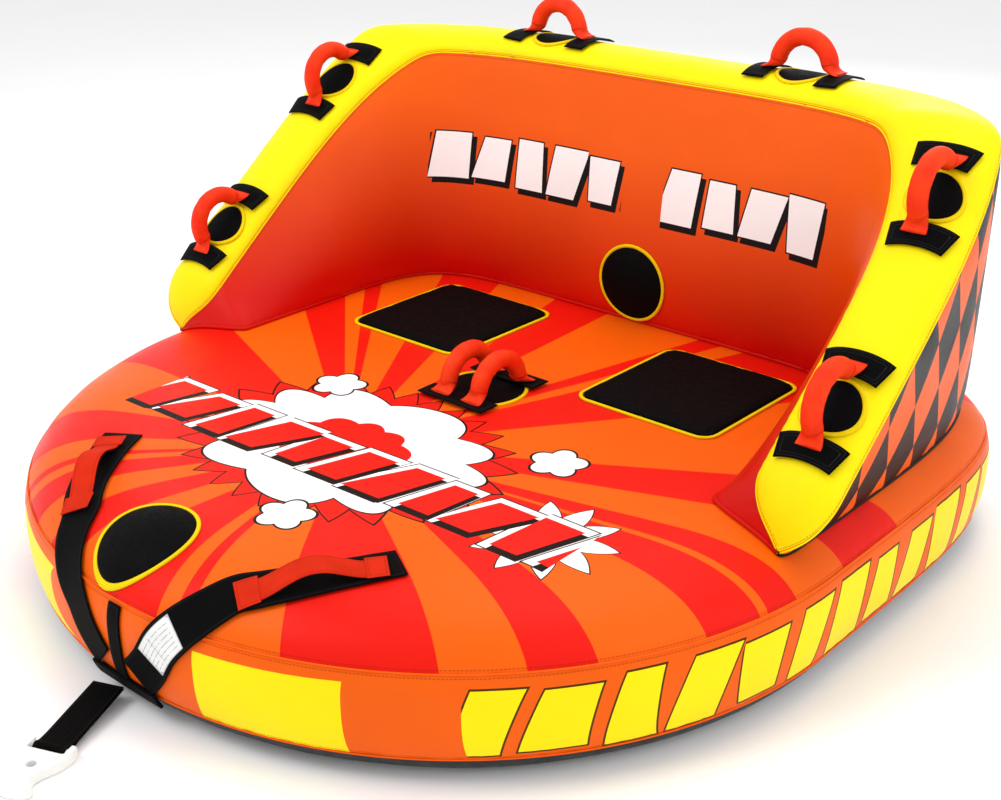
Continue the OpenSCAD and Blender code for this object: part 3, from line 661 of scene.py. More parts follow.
def side_material():
    b = Nodes("side_nylon", spec=0.10)
    z = b.xyz[2]
    run = b.uv[0]
    up = b.sub(z, 0.112)
    block = b.both(b.inside(run, 0.168, 0.412), b.inside(b.add(z, b.mul(b.sin(run, 9), 0.003)), 0.036, 0.172))
    c = b.mix(block, ORANGE, YELLOW)
    span = b.inside(run, 0.585, 1.93)
    d = bar_row(b, run, up, 0.112, 0.30, 0.058, 0.041, 0.006)
    c = b.mix(b.both(span, b.less(d, 0.0034)), c, rgb("#4a2c06"))
    c = b.mix(b.both(span, b.less(d, 0.0)), c, YELLOW)
    return finish_cloth(b, c, 0.34)


def rim_material():
    b = Nodes("rim_nylon", spec=0.10)
    e = b.edge()
    c = b.mix(b.less(e, 0.0032), YELLOW, ORANGE)
    # painted shade: random crease patches darkened towards a deeper gold, strongest by the sewn edges where
    # the cover puckers
    painted_crease_shade = b.ramp(b.noise(11, 2), 0.35, 0.75)
    c = b.mix(b.mul(b.mul(painted_crease_shade, 0.16), b.ramp(e, 0.0, 0.03, 1, 0.2)), c, rgb("#c79a00"))
    return finish_cloth(b, c, 0.40)


def inner_material():
    b = Nodes("inner_nylon", spec=0.16)
    x, y, z = b.xyz
    fall = b.ramp(b.add(z, b.mul(b.size(x), -0.10)), 0.26, 0.62)
    c = b.mix(fall, DEEP, ORANGE)
    up = b.sub(z, 0.553)
    back = b.more(y, 0.40)
    span = b.both(back, b.either(b.inside(x, -0.524, -0.040), b.inside(x, 0.060, 0.440)))
    d = bar_row(b, b.add(x, 0.045), up, 0.0965, 0.12, 0.050, 0.037, 0.004)
    dark = bar_row(b, b.add(b.sub(x, 0.010), 0.045), b.add(up, 0.010), 0.0965, 0.12, 0.050, 0.037, 0.004)
    c = b.mix(b.both(span, b.less(dark, 0.003)), c, INK)
    c = b.mix(b.both(span, b.less(d, 0.003)), c, INK)
    c = b.mix(b.both(span, b.less(d, 0.0)), c, WHITE)
    return finish_cloth(b, c, 0.34)


def outer_material():
    b = Nodes("outer_nylon", spec=0.10)
    u, z = b.uv[0], b.xyz[2]
    p = b.add(b.div(u, 0.112), b.div(z, 0.150))
    q = b.sub(b.div(u, 0.112), b.div(z, 0.300))
    odd = b.math("MODULO", b.add(b.math("FLOOR", p), b.math("FLOOR", q)), 2.0)
    c = b.mix(b.more(b.size(odd), 0.5), ORANGE, BLACK)
    return finish_cloth(b, c, 0.36)


def plain_cloth(name, colour, rough=0.36, **kw):
    return finish_cloth(Nodes(name, spec=0.10), colour, rough, **kw)


def under_material():
    b = Nodes("under_tarpaulin", spec=0.4)
    c = b.shade(rgb("#17181a"), 0.2, 7.0)
    grid = b.weave(0.0032)
    b.put("Base Color", c)
    b.put("Roughness", b.ramp(b.noise(30, 3), 0.3, 0.7, 0.42, 0.6))
    b.bump(b.add(b.mul(grid, 0.4), b.mul(b.noise(40, 3), 0.6)), 0.0008, 0.5)
    return b.mat


def webbing_material(name, colour, pitch=0.0021, rough=0.62, stitch=(0.004, 0.012),
                     thread="#4a4a4c"):
    b = Nodes(name, rough=rough, spec=0.04)
    t = b.twill(pitch)
    dark = tuple(c * 0.62 for c in colour)
    c = b.mix(t, dark, colour)
    c = b.shade(c, 0.12, 30.0)
    marks = None
    for at in stitch:
        s = b.stitches(at, 0.004, 0.0006)
        marks = s if marks is None else b.either(marks, s)
    h = t
    if marks is not None:
        c = b.mix(b.mul(marks, 0.8), c, rgb(thread))
        h = b.add(t, b.mul(marks, 0.8))
    b.put("Base Color", c)
    b.bump(h, 0.0006, 0.7)
    return b.mat


def foam_material(name, colour, rough=0.7):
    b = Nodes(name, spec=0.05)
    c = b.shade(colour, 0.15, 60.0)
    b.put("Base Color", c)
    b.put("Roughness", b.ramp(b.noise(120, 3), 0.3, 0.7, rough - 0.08, rough + 0.1))
    b.bump(b.add(b.mul(b.noise(420, 3), 0.6), b.mul(b.noise(40, 2), 0.5)), 0.0008, 0.45)
    return b.mat


def grip_material():
    b = Nodes("grip_sleeve", spec=0.12)
    c = b.shade(b.mix(b.ramp(b.noise(35, 3), 0.35, 0.7), GRIP, rgb("#f4400f")), 0.10, 24.0)
    b.put("Base Color", c)
    b.put("Roughness", b.ramp(b.noise(70, 3), 0.3, 0.7, 0.46, 0.62))
    b.bump(b.add(b.mul(b.weave(0.0016), 0.25), b.mul(b.noise(60, 3), 0.5)), 0.0009, 0.5)
    return b.mat


def tape_material():
    b = Nodes("binding_tape", spec=0.1)
    rib = b.sin(b.uv[1], 2 * math.pi / 0.0018)
    c = b.mix(b.ramp(rib, -1, 1), rgb("#d8b400"), YELLOW)
    b.put("Base Color", b.shade(c, 0.08, 30.0))
    b.put("Roughness", b.ramp(b.noise(80, 2), 0.3, 0.7, 0.5, 0.65))
    b.bump(b.add(b.ramp(rib, -1, 1), b.noise(90, 2)), 0.0005, 0.5)
    return b.mat


def hook_material():
    b = Nodes("hook_nylon", spec=0.5, Subsurface_Weight=0.25, Subsurface_Radius=(0.02, 0.02, 0.02))
    b.put("Base Color", b.shade(rgb("#f1f1ef"), 0.05, 40.0))
    b.put("Roughness", b.ramp(b.noise(55, 4), 0.3, 0.7, 0.30, 0.46))
    b.bump(b.noise(160, 3), 0.0003, 0.4)
    return b.mat


def label_material():
    b = Nodes("label_cloth", rough=0.6, spec=0.3)
    u, v, _ = b.uv
    row = b.wrap(v, 0.0078)
    line = b.both(b.less(row, 0.0016), b.both(b.inside(v, 0.008, 0.050), b.inside(u, 0.008, 0.098)))
    rag = b.less(b.noise(260, 1), 0.56)
    frame_ = b.less(b.edge(), 0.0014)
    rule = b.both(b.inside(u, 0.052, 0.0535), b.inside(v, 0.006, 0.052))
    c = b.mix(b.mul(b.both(line, rag), 0.55), rgb("#ececea"), rgb("#5a6066"))
    c = b.mix(b.mul(b.either(frame_, rule), 0.5), c, rgb("#7d858c"))
    b.put("Base Color", b.shade(c, 0.05, 30.0))
    b.bump(b.weave(0.0012), 0.0003, 0.4)
    return b.mat


def plastic_material(name, colour, rough=0.4):
    b = Nodes(name, spec=0.5)
    b.put("Base Color", b.shade(colour, 0.12, 50.0))
    b.put("Roughness", b.ramp(b.noise(90, 3), 0.3, 0.7, rough - 0.06, rough + 0.1))
    b.bump(b.noise(300, 3), 0.0003, 0.35)
    return b.mat


def metal_material():
    b = Nodes("zip_metal", Metallic=1.0)
    b.put("Base Color", b.shade(rgb("#b9b9bd"), 0.12, 60.0))
    b.put("Roughness", b.ramp(b.noise(150, 3), 0.3, 0.7, 0.22, 0.42))
    b.bump(b.noise(400, 2), 0.0002, 0.3)
    return b.mat


def floor_material():
    b = Nodes("floor_paper", rough=0.9, spec=0.2)
    b.put("Base Color", b.shade((0.99, 0.99, 0.99), 0.01, 2.0))
    b.bump(b.noise(60, 2), 0.0004, 0.1)
    return b.mat


# ---------------------------------------------------------------- floor
FLOOR_HALF, FLOOR_Z = 9000, -0.6
floor = new_object("floor", [(x * FLOOR_HALF, y * FLOOR_HALF, FLOOR_Z)
                             for x, y in ((-1, -1), (1, -1), (1, 1), (-1, 1))], [[0, 1, 2, 3]], smooth=False)
floor.data.materials.append(floor_material())

# ---------------------------------------------------------------- the base's cover
TUBE = "tube"
FINE = 0.5
PHI = np.arange(-90, 270, FINE)
TOP_A, LOW_A = profile_angle(SEAM_TOP_H), profile_angle(SEAM_LOW_H)


def base_rows(angles, seams, sign=1.0):
    """Rows of the base's skin with seam puckers, and each row's distance to its nearest seam."""
    P = base_point(PHI[:, None], np.array(angles)[None, :])
    N = grid_normals(P, loop_u=True, sign=sign)
    run, rise = arc(P, 0), arc(P, 1)
    d = np.full(P.shape[:2], 1e4)
    for k in seams:
        d = np.minimum(d, np.abs(rise - rise[:, [k]]))
    pucker = ripple(run, 2.3) * np.exp(-(d / 16) ** 1.4) * 0.9 - 0.8 * np.exp(-(d / 4.0) ** 2)
    soft = 0.5 * ripple(run, 5.1, (210.0, 330.0, 510.0)) * np.exp(-((d - 60) / 60) ** 2)
    return P + (pucker + soft)[..., None] * N, run, rise, d


def near(start, stop, more, n):
    """Angles from start to stop with close rows at the start, and at the stop too if more."""
    t = np.linspace(0, 1, n)
    t = t ** 1.6 if not more else 0.5 - 0.5 * np.cos(np.pi * t)
    return list(start + (stop - start) * t)


def deck_cover():
    rows = near(TOP_A, 89.2, False, 24) + [90.0]
    P, run, rise, d = base_rows(rows, [0])
    inner = P[:, -1]
    rings = [P[:, k] for k in range(P.shape[1])]
    centre = np.array([0.0, -5.0, BASE_H])
    shares = [0.94, 0.86, 0.76, 0.64, 0.5, 0.34, 0.16]
    for s in shares:
        rings.append(centre + (inner - centre) * s)
    Q = np.stack(rings, 1)
    n, m = Q.shape[:2]
    verts = np.concatenate([Q.reshape(-1, 3), centre[None]])
    faces = grid_faces(n, m, loop_u=True)
    faces += [[i * m + m - 1, ((i + 1) % n) * m + m - 1, n * m] for i in range(n)]
    o = new_object("deck_cover", verts, faces)
    edge = np.concatenate([np.concatenate([d, np.full((n, len(shares)), 400.0)], 1).ravel(), [400.0]])
    along = np.concatenate([run, np.repeat(run[:, -1:], len(shares), 1)], 1)
    across = np.concatenate([rise, rise[:, -1:] + (1 - np.array(shares))[None] * 500], 1)
    uv = np.concatenate([np.stack([along.ravel(), across.ravel()], -1), [[0, 0]]])
    set_cloth(o, uv, edge)
    thicken(o, COVER_T)
    return finish_piece(o, TUBE, ("deck_panel",), deck_material())


def band_cover():
    P, run, rise, d = base_rows(near(LOW_A, TOP_A, True, 26), [0, -1])
    n, m = P.shape[:2]
    o = new_object("side_cover", P.reshape(-1, 3), grid_faces(n, m, loop_u=True))
    half = run[:, :1] * 0 + run[-1].mean() / 2
    from_nose = np.abs(np.where(run > half, run - 2 * half, run))
    set_cloth(o, np.stack([from_nose.ravel(), rise.ravel()], -1), d.ravel())
    thicken(o, COVER_T)
    return finish_piece(o, TUBE, ("side_band",), side_material())


def under_cover():
    rows = near(LOW_A, -89.2, False, 14) + [-90.0]
    P, _, _, d = base_rows(rows, [0], -1.0)
    inner = P[:, -1].copy()
    rings = [P[:, k] for k in range(P.shape[1])]
    centre = np.array([0.0, -5.0, 0.0])
    shares = [0.9, 0.7, 0.45, 0.2]
    for s in shares:
        rings.append(centre + (inner - centre) * s)
    Q = np.stack(rings, 1)
    Q[..., 2] = np.maximum(Q[..., 2], 0.0)
    n, m = Q.shape[:2]
    verts = np.concatenate([Q.reshape(-1, 3), centre[None]])
    faces = grid_faces(n, m, loop_u=True, flip=True)
    faces += [[((i + 1) % n) * m + m - 1, i * m + m - 1, n * m] for i in range(n)]
    o = new_object("under_cover", verts, faces)
    set_cloth(o, np.concatenate([Q[..., :2].reshape(-1, 2), [[0, 0]]]),
              np.concatenate([np.concatenate([d, np.full((n, len(shares)), 400.0)], 1).ravel(), [400.0]]))
    thicken(o, COVER_T)
    return finish_piece(o, TUBE, ("bottom_panel",), under_material())


deck = deck_cover()
band = band_cover()
under = under_cover()
ORANGE_CLOTH = plain_cloth("piping_cloth", ORANGE, 0.4)


def base_bead(name, a, r, out, mat):
    P = base_point(PHI, a, out)
    o = tube(name, P, r, 10, closed=True)
    return finish_piece(o, TUBE, (), mat)


base_bead("deck_seam_bead", TOP_A, 1.7, 0.2, ORANGE_CLOTH)
base_bead("under_seam_bead", LOW_A, 1.7, 0.2, ORANGE_CLOTH)

# ---------------------------------------------------------------- the arm and back wall's cover
TIP = math.degrees(math.asin((TOE_Y - WIDE_Y) / (ARM_MID + 0.01)))
WALL_HALF = np.concatenate([TIP + 0.01 + 5.4 * (np.linspace(0, 1, 26)) ** 1.7, np.arange(-0.5, 90, 0.5)])
WALL = np.concatenate([WALL_HALF, [90.0], 180 - WALL_HALF[::-1]])


CORNER_ROOM = 3.6  # how far the cover stands off the bladder's flatter corners


def wall_panel(name, make, steps, seams, amp, body_nodes, mat, seed, flip=False):
    P = make(WALL[:, None], np.array(steps)[None, :])
    N = grid_normals(P, sign=-1.0 if flip else 1.0)
    run, rise = arc(P, 0), arc(P, 1)
    mid = run[:, P.shape[1] // 2]
    d = np.full(P.shape[:2], 1e4)
    for k in seams:
        d = np.minimum(d, np.abs(rise - rise[:, [k]]))
    corner = np.exp(-((np.abs(WALL - 90) - 40) / 12) ** 2)[:, None]
    pucker = ripple(mid[:, None] + 0 * d, seed) * np.exp(-(d / 20) ** 1.3) * (amp + 1.1 * amp * corner)
    pucker = pucker - 0.8 * np.exp(-(d / 4.0) ** 2)
    waves = 0.7 + 0.9 * ripple(mid[:, None] + 0 * d, seed + 2, (190.0, 310.0))
    soft = waves * np.exp(-((d - 50) / 50) ** 2) * corner
    bend = np.exp(-((np.abs(WALL - 90) - 50) / 20) ** 2)[:, None]
    soft = soft + CORNER_ROOM * bend * (1 - np.exp(-(d / 25.0) ** 2))
    keep = np.clip((mid - 6) / 40, 0, 1) * np.clip((mid[-1] - mid - 6) / 40, 0, 1)
    P = P + (np.maximum(pucker + soft, -0.25 - 0.5 * np.exp(-(d / 4.0) ** 2)) * keep[:, None])[..., None] * N
    n, m = P.shape[:2]
    o = new_object(name, P.reshape(-1, 3), grid_faces(n, m, flip=flip))
    set_cloth(o, np.stack([(mid[:, None] + 0 * d).ravel(), rise.ravel()], -1), d.ravel())
    thicken(o, COVER_T)
    return finish_piece(o, TUBE, body_nodes, mat)


def inner_side(phi, s):
    return side_xyz(phi, FOOT_IN, RIM_IN, INNER_SWELL, s)


def outer_side(phi, s):
    return side_xyz(phi, FOOT_OUT, RIM_OUT, OUTER_SWELL, s)


SIDE_STEPS = list(0.5 - 0.5 * np.cos(np.pi * np.linspace(0, 1, 25)))
CROWN_STEPS = list(90 - 90 * np.cos(np.pi * np.linspace(0, 1, 29)))
inner = wall_panel("inner_cover", inner_side, SIDE_STEPS, [0, -1], 1.1, ("backrest_panel",),
                   inner_material(), 3.1, flip=True)
rim = wall_panel("rim_cover", crown_xyz, CROWN_STEPS, [0, -1], 1.0, ("rim_panel",),
                 rim_material(), 4.7, flip=True)
outer = wall_panel("outer_cover", outer_side, SIDE_STEPS, [0, -1], 1.0, ("outer_panel",),
                   outer_material(), 6.3)


def bead(name, path, r, mat, closed=False):
    return finish_piece(tube(name, path, r, 10, closed), TUBE, (), mat)


YELLOW_CLOTH = plain_cloth("yellow_piping", YELLOW, 0.4)
bead("rim_inner_bead", crown_xyz(WALL, 0.0), 1.6, YELLOW_CLOTH)
bead("rim_outer_bead", crown_xyz(WALL, 180.0), 1.6, YELLOW_CLOTH)
WELT_R, WELT_LIFT = 4.2, [0, 0, 1.2]
bead("inner_foot_welt", inner_side(WALL, 0.0) + WELT_LIFT, WELT_R,
     plain_cloth("inner_welt_cloth", DEEP, 0.4))
bead("outer_foot_welt", outer_side(WALL, 0.0) + WELT_LIFT, WELT_R,
     plain_cloth("outer_welt_cloth", rgb("#141011"), 0.45))


# ---------------------------------------------------------------- pads and their bound edges
FOAM = foam_material("pad_foam", rgb("#050506"), 0.7)
TAPE = tape_material()
WEB = webbing_material("black_webbing", rgb("#080809"), stitch=(0.004,), thread="#2c2c2e")
WEB_ANCHOR = webbing_material("anchor_webbing", rgb("#070708"), stitch=(0.004, 0.009), thread="#2a2a2c")
WEB_RED = webbing_material("loop_webbing", rgb("#ee3316"), stitch=(0.004,), thread="#a01d0a")
SLEEVE = grip_material()


def round_rect(x0, x1, y0, y1, r, step=4.0):
    """Points round a rectangle with round corners."""
    pts = []
    corners = ((x1 - r, y1 - r, 0), (x0 + r, y1 - r, 90), (x0 + r, y0 + r, 180), (x1 - r, y0 + r, 270))
    for cx, cy, a0 in corners:
        for a in np.radians(np.linspace(a0, a0 + 90, 14)):
            pts.append((cx + r * math.cos(a), cy + r * math.sin(a)))
    pts = np.array(pts + pts[:1])
    s = np.concatenate([[0], np.cumsum(np.linalg.norm(np.diff(pts, axis=0), axis=1))])
    at = np.linspace(0, s[-1], int(s[-1] / step), endpoint=False)
    return np.stack([np.interp(at, s, pts[:, 0]), np.interp(at, s, pts[:, 1])], -1)


def edge_tape(name, xy, z, width, height, body, nodes):
    """A bound edge: a rounded tape section swept round a flat closed path."""
    path = np.concatenate([xy, np.full((len(xy), 1), z)], 1)
    t = unit(np.roll(path, -1, 0) - np.roll(path, 1, 0))
    side = np.cross(t, [0, 0, 1.0])
    a = np.linspace(0, 2 * np.pi, 16, endpoint=False)
    px = width / 2 * np.sign(np.cos(a)) * np.abs(np.cos(a)) ** 0.55
    pz = height / 2 + height / 2 * np.sign(np.sin(a)) * np.abs(np.sin(a)) ** 0.55
    s = arc(path, 0)
    lift = 0.25 * ripple(s, 1.9, (23.0, 41.0))
    P = (path[:, None] + px[None, :, None] * side[:, None]
         + (pz * (1 + 0.06 * lift[:, None]))[..., None] * np.array([0, 0, 1.0]))
    n, m = P.shape[:2]
    o = new_object(name, P.reshape(-1, 3), grid_faces(n, m, loop_u=True, loop_v=True, flip=True))
    set_cloth(o, np.stack([np.repeat(s, m), np.tile(px + width / 2, n)], -1), np.full(n * m, 50.0))
    return finish_piece(o, body, nodes, TAPE)


def swell(o, cap_up, cap_side, low, voxel=4.0, pressure=4.0):
    """Swells a closed padded form by a short cloth simulation and keeps the result within its caps."""
    m = o.modifiers.new("remesh", "REMESH")
    m.mode, m.voxel_size = "VOXEL", voxel * 0.001
    bake(o)
    n = len(o.data.vertices)
    start = np.zeros(n * 3)
    o.data.vertices.foreach_get("co", start)
    start = start.reshape(-1, 3)
    move = np.zeros_like(start)
    cloth = o.modifiers.new("swell", "CLOTH")
    cloth.settings.use_pressure = True
    cloth.settings.uniform_pressure_force = pressure
    cloth.settings.effector_weights.gravity = 0
    cloth.settings.quality = 4
    cloth.point_cache.frame_start, cloth.point_cache.frame_end = 1, 20
    for f in range(1, 21):
        bpy.context.scene.frame_set(f)
    after = o.evaluated_get(bpy.context.evaluated_depsgraph_get())
    end = np.zeros(n * 3)
    after.data.vertices.foreach_get("co", end)
    move = end.reshape(-1, 3) - start
    o.modifiers.clear()
    bpy.context.scene.frame_set(1)
    move[:, :2] = np.clip(move[:, :2], -cap_side * 0.001, cap_side * 0.001)
    move[:, 2] = np.clip(move[:, 2], -0.0003, cap_up * 0.001)
    end = start + move
    end[:, 2] = np.maximum(end[:, 2], low * 0.001)
    o.data.vertices.foreach_set("co", end.ravel())
    sub = o.modifiers.new("smooth", "SUBSURF")
    sub.levels = sub.render_levels = 1
    bake(o)
    o.data.polygons.foreach_set("use_smooth", [True] * len(o.data.polygons))
    return o


def seat_pad(name, side, nodes):
    x0, x1 = sorted((side * 156.6, side * 446.4))
    xy = round_rect(x0, x1, 116.6, 420.4, 27)
    n = len(xy)
    verts = [(x, y, BASE_H + 0.4) for x, y in xy] + [(x, y, BASE_H + 6.6) for x, y in xy]
    faces = [list(range(n - 1, -1, -1)), list(range(n, 2 * n))]
    faces += [[k, (k + 1) % n, n + (k + 1) % n, n + k] for k in range(n)]
    o = swell(new_object(name, verts, faces), 4.2, 0.5, BASE_H + 0.2)
    co = np.zeros(len(o.data.vertices) * 3)
    o.data.vertices.foreach_get("co", co)
    co = co.reshape(-1, 3) * 1000
    d = np.minimum(np.minimum(co[:, 0] - x0, x1 - co[:, 0]), np.minimum(co[:, 1] - 116.6, 420.4 - co[:, 1]))
    top = co[:, 2] > BASE_H + 3
    co[:, 2] += np.where(top, 1.6 * np.clip(d / 70, 0, 1) ** 0.7 - 1.3 * np.exp(-((d - 9) / 3.0) ** 2), 0)
    o.data.vertices.foreach_set("co", (co * 0.001).ravel())
    finish_piece(o, TUBE, nodes, FOAM)
    return o


def flat_top(u, v):
    u, v = np.asarray(u, float), np.asarray(v, float)
    return np.stack([u, 30 + v, BASE_H + 0 * u], -1)


def pad_profile(r, low, high, crown):
    """A round foam pad's section, from the middle of its underside to the middle of its top."""
    prof = [(r * q, low) for q in (0.12, 0.5, 0.9, 0.985)] + [(r, low + 0.35 * (high - low)), (r, high - 0.6)]
    prof += [(r * q, high + crown * (1 - q ** 2)) for q in (0.985, 0.94, 0.86, 0.72, 0.52, 0.3, 0.12)]
    return prof


def tape_profile(r0, r1, low, high):
    b = 1.3
    mid = (r0 + r1) / 2
    return [(r0, low), (r0, high - b), (r0 + b, high), (mid, high + 0.2), (r1 - b, high), (r1, high - b),
            (r1, low), (mid, low)]


for side, word in ((-1, "left"), (1, "right")):
    seat_pad("seat_cushion_" + word, side, ("seat_pad_" + word,))
    x0, x1 = sorted((side * 152.5, side * 450.5))
    edge_tape("seat_edge_" + word, round_rect(x0, x1, 112.5, 424.5, 30.5), BASE_H, 7.0, 4.4, TUBE,
              ("seat_binding_" + word,))

centre_cushion = polar_piece("centre_cushion", flat_top, pad_profile(77.8, 0.1, 3.0, 0.8))
finish_piece(centre_cushion, TUBE, ("centre_pad",), FOAM)
finish_piece(polar_piece("centre_edge", flat_top, tape_profile(78, 85, 0.1, 4.0), closed=True), TUBE,
             ("centre_binding",), TAPE)

# ---------------------------------------------------------------- handles and the webbing they are sewn to
ARCH_R, ARCH_HALF, GRIP_R, PIVOT_H = 56.0, math.radians(78.0), 17.0, 26.0
ANCHOR_AT, ANCHOR_L, ANCHOR_W = 80.0, 104.0, 48.0
up3 = np.array([0, 0, 1.0])
along_arm = np.array([0, math.cos(ARM_SLOPE), math.sin(ARM_SLOPE)])
off_arm = np.array([0, -math.sin(ARM_SLOPE), math.cos(ARM_SLOPE)])


def local(spot, p):
    """Points p in a handle's own axes, put where the handle is."""
    at, x, z = spot
    p = np.asarray(p, float)
    return at + p[..., :1] * x + p[..., 1:2] * np.cross(z, x) + p[..., 2:] * z


def round_section(at, normal_in, wide, high, n=28):
    """A ring in local axes: its half width runs along Y and its half height along normal_in."""
    a = np.linspace(0, 2 * np.pi, n, endpoint=False)
    return (np.asarray(at)[None] + (wide * np.cos(a))[:, None] * np.array([0, 1.0, 0])
            + (high * np.sin(a))[:, None] * np.asarray(normal_in)[None])


def loft(name, rings, spot, caps=True):
    P = np.stack(rings, 0)
    n, m = P.shape[:2]
    faces = grid_faces(n, m, loop_v=True, flip=True)
    if caps:
        faces += [list(range(m)), list(range((n - 1) * m + m - 1, (n - 1) * m - 1, -1))]
    o = new_object(name, local(spot, P).reshape(-1, 3), faces)
    run = arc(P.mean(1), 0)
    set_cloth(o, np.stack([np.repeat(run, m), np.tile(np.linspace(0, 107, m), n)], -1),
              np.repeat(np.minimum(run, run[-1] - run), m))
    return o


def grip(name, spot, body, node, seed):
    rings = []
    for a in np.linspace(-ARCH_HALF, ARCH_HALF, 49):
        out = np.array([math.sin(a), 0, math.cos(a)])
        at = ARCH_R * out - np.array([0, 0, ARCH_R * math.cos(ARCH_HALF)])
        end = (abs(a) / ARCH_HALF) ** 8
        crease = 0.35 * ripple(np.array(a * ARCH_R), seed, (23.0, 37.0, 61.0))
        r = GRIP_R - 0.6 * end + float(crease)
        rings.append(round_section(at, out, r, r))
    first, last = [], []
    for q in (0.35, 0.65, 0.88, 0.97):
        for s, store in ((-1, first), (1, last)):
            a = s * ARCH_HALF
            out = np.array([math.sin(a), 0, math.cos(a)])
            on = s * np.array([math.cos(a), 0, -math.sin(a)])
            at = np.array([s * ARCH_R * math.sin(ARCH_HALF), 0, 0]) + on * 16.2 * q
            r = 16.2 * math.sqrt(1 - q * q)
            store.append(round_section(at, out, r, r))
    o = loft(name, first[::-1] + rings + last, spot)
    finish_piece(o, body, (node,), SLEEVE)
    return o


# each ring of a cuff: place along and up, dip in degrees, half width and half height
CUFF = ((54.6, 0.4, 78, 16.9, 16.9), (57.2, -4.2, 66, 17.6, 14.2), (60.8, -8.4, 52, 18.8, 10.6),
        (65.4, -11.9, 38, 20.2, 7.2), (71.0, -14.4, 22, 21.6, 4.2), (76.5, -15.6, 8, 22.4, 2.6),
        (81.0, -15.9, 0, 22.6, 1.8))


def cuff(name, spot, s):
    """The sleeve's flattened end, sewn down to the anchor's inner edge."""
    rings = []
    for x, z, dip, wide, high in CUFF:
        a = math.radians(dip)
        rings.append(round_section((s * x, 0, z), (s * math.sin(a), 0, math.cos(a)), wide, high))
    o = loft(name, rings if s > 0 else rings[::-1], spot)
    o.data.materials.append(SLEEVE)
    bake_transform(o)
    return o


def anchor(name, f, s, node, half_length=ANCHOR_L / 2, points=27):
    """One webbing bar across the rim or deck under a handle's end."""
    v = np.linspace(-half_length, half_length, points)
    path = f(s, v)
    n = unit(np.cross(f(s + 1, v) - f(s, v), f(s, v + 1) - f(s, v)))
    n = n * np.sign(n[:, 2:].mean())
    ribbon(name, path, n, ANCHOR_W, 2.4, TUBE, (node,), WEB_ANCHOR, low=5.8, crown=0.2, wave=0.2,
           seed=s)


def handle(word, spot, f, body, node):
    """A knuckle pad with its bound edge, two anchor bars, and a grip between them."""
    if f is not None:
        pad = polar_piece(word + "_pad", f, pad_profile(45.9, 1.5, 4.3, 0.9), 72)
        finish_piece(pad, TUBE, ("rim_pads",), FOAM)
        finish_piece(polar_piece(word + "_edge", f, tape_profile(46.1, 53, 1.5, 5.2), 72, closed=True), TUBE,
                     ("rim_bindings",), TAPE)
        for k, s in enumerate((-ANCHOR_AT, ANCHOR_AT)):
            anchor("%s_anchor_%d" % (word, k), f, s, "rim_anchors")
    grip(word + "_sleeve", spot, body, node, 2.0 + len(word))
    for k, s in enumerate((-1, 1)):
        cuff("%s_cuff_%d" % (word, k), spot, s)


def deck_bar(s, v):
    v = np.asarray(v, float)
    return np.stack([v, 30 + s + 0 * v, BASE_H + 0 * v], -1)


for side, word in ((-1, "left"), (1, "right")):
    for height, y in (("lower", 21.0), ("upper", 340.0)):
        f = arm_surface(side, y)
        spot = (lifted(f, 0.0, 0.0, PIVOT_H), along_arm, off_arm)
        handle("%s_%s" % (height, word), spot, f, "%s_handle_%s" % (height, word),
               "%s_grip_%s" % (height, word))
    f = back_surface(side * 297.0)
    spot = (f(0.0, 0.0) + PIVOT_H * up3, np.array([1.0, 0, 0]), up3)
    handle("back_" + word, spot, f, "back_handle_" + word, "back_grip_" + word)
    spot = (np.array([side * 38.0, 30, BASE_H + PIVOT_H]), np.array([0, 1.0, 0]), up3)
    handle("centre_" + word, spot, None, "centre_handle_" + word, "centre_grip_" + word)
for k, s in enumerate((-73.0, 73.0)):
    anchor("centre_anchor_%d" % k, deck_bar, s, "centre_anchors", half_length=79, points=33)

# ---------------------------------------------------------------- valve openings and their round covers
FRONT_AT, BACK_Z = (-32.0, -720.0), BASE_H + 88
front_f = deck_surface(*FRONT_AT)
back_f = panel_surface(FOOT_IN[1], RIM_IN[1], INNER_SWELL, BACK_Z, 1)
NEOPRENE = foam_material("neoprene", rgb("#050506"), 0.6)


def valve_cover(name, f, d, body, nodes):
    r = d / 2 - 0.1
    prof = []
    for q in (0.08, 0.3, 0.5, 0.7, 0.85, 0.95, 1.0):
        prof.append((r * q, 0.6 + 12 * (1 - q * q)))
    for q in (1.0, 0.96, 0.9, 0.82, 0.7, 0.55, 0.4, 0.25, 0.08):
        prof.append((r * q, 3.6 + 12 * (1 - q * q) - 0.5 * math.exp(-((r * q - r + 6) / 2.0) ** 2)))
    o = finish_piece(polar_piece(name, f, prof), body, nodes[:1], NEOPRENE)
    edge = polar_piece(name + "_edge", f, tape_profile(d / 2 + 0.05, d / 2 + 7, 0.6, 4.2), closed=True)
    finish_piece(edge, body, nodes[1:], TAPE)


for o, f in ((deck, front_f), (inner, back_f)):
    p = f(0.0, 0.0)
    cut_hole(o, p, lifted(f, 0.0, 0.0, 1.0) - p, 36.0)
    hem = [(36.0, -1.4), (36.0, 0.25), (38.5, 0.42), (41, 0.25), (41, -0.2)]
    finish_piece(polar_piece(o.name + "_hem", f, hem, 72, closed=True), TUBE, (), WEB)
valve_cover("front_flap_cover", front_f, 154.0, "front_cover_lid", ("front_cover", "front_cover_binding"))
valve_cover("back_flap_cover", back_f, 152.0, "back_cover_lid", ("back_cover", "back_cover_binding"))

# ---------------------------------------------------------------- tow harness
def bezier(a, b, c, t):
    t = np.asarray(t)[:, None]
    return (1 - t) ** 2 * np.array(a) + 2 * t * (1 - t) * np.array(b) + t ** 2 * np.array(c)


def deck_points(q):
    f = deck_surface(0.0, 0.0)
    p = f(q[:, 0], q[:, 1])
    return p, unit(lifted(f, q[:, 0], q[:, 1], np.ones(len(q))) - p)


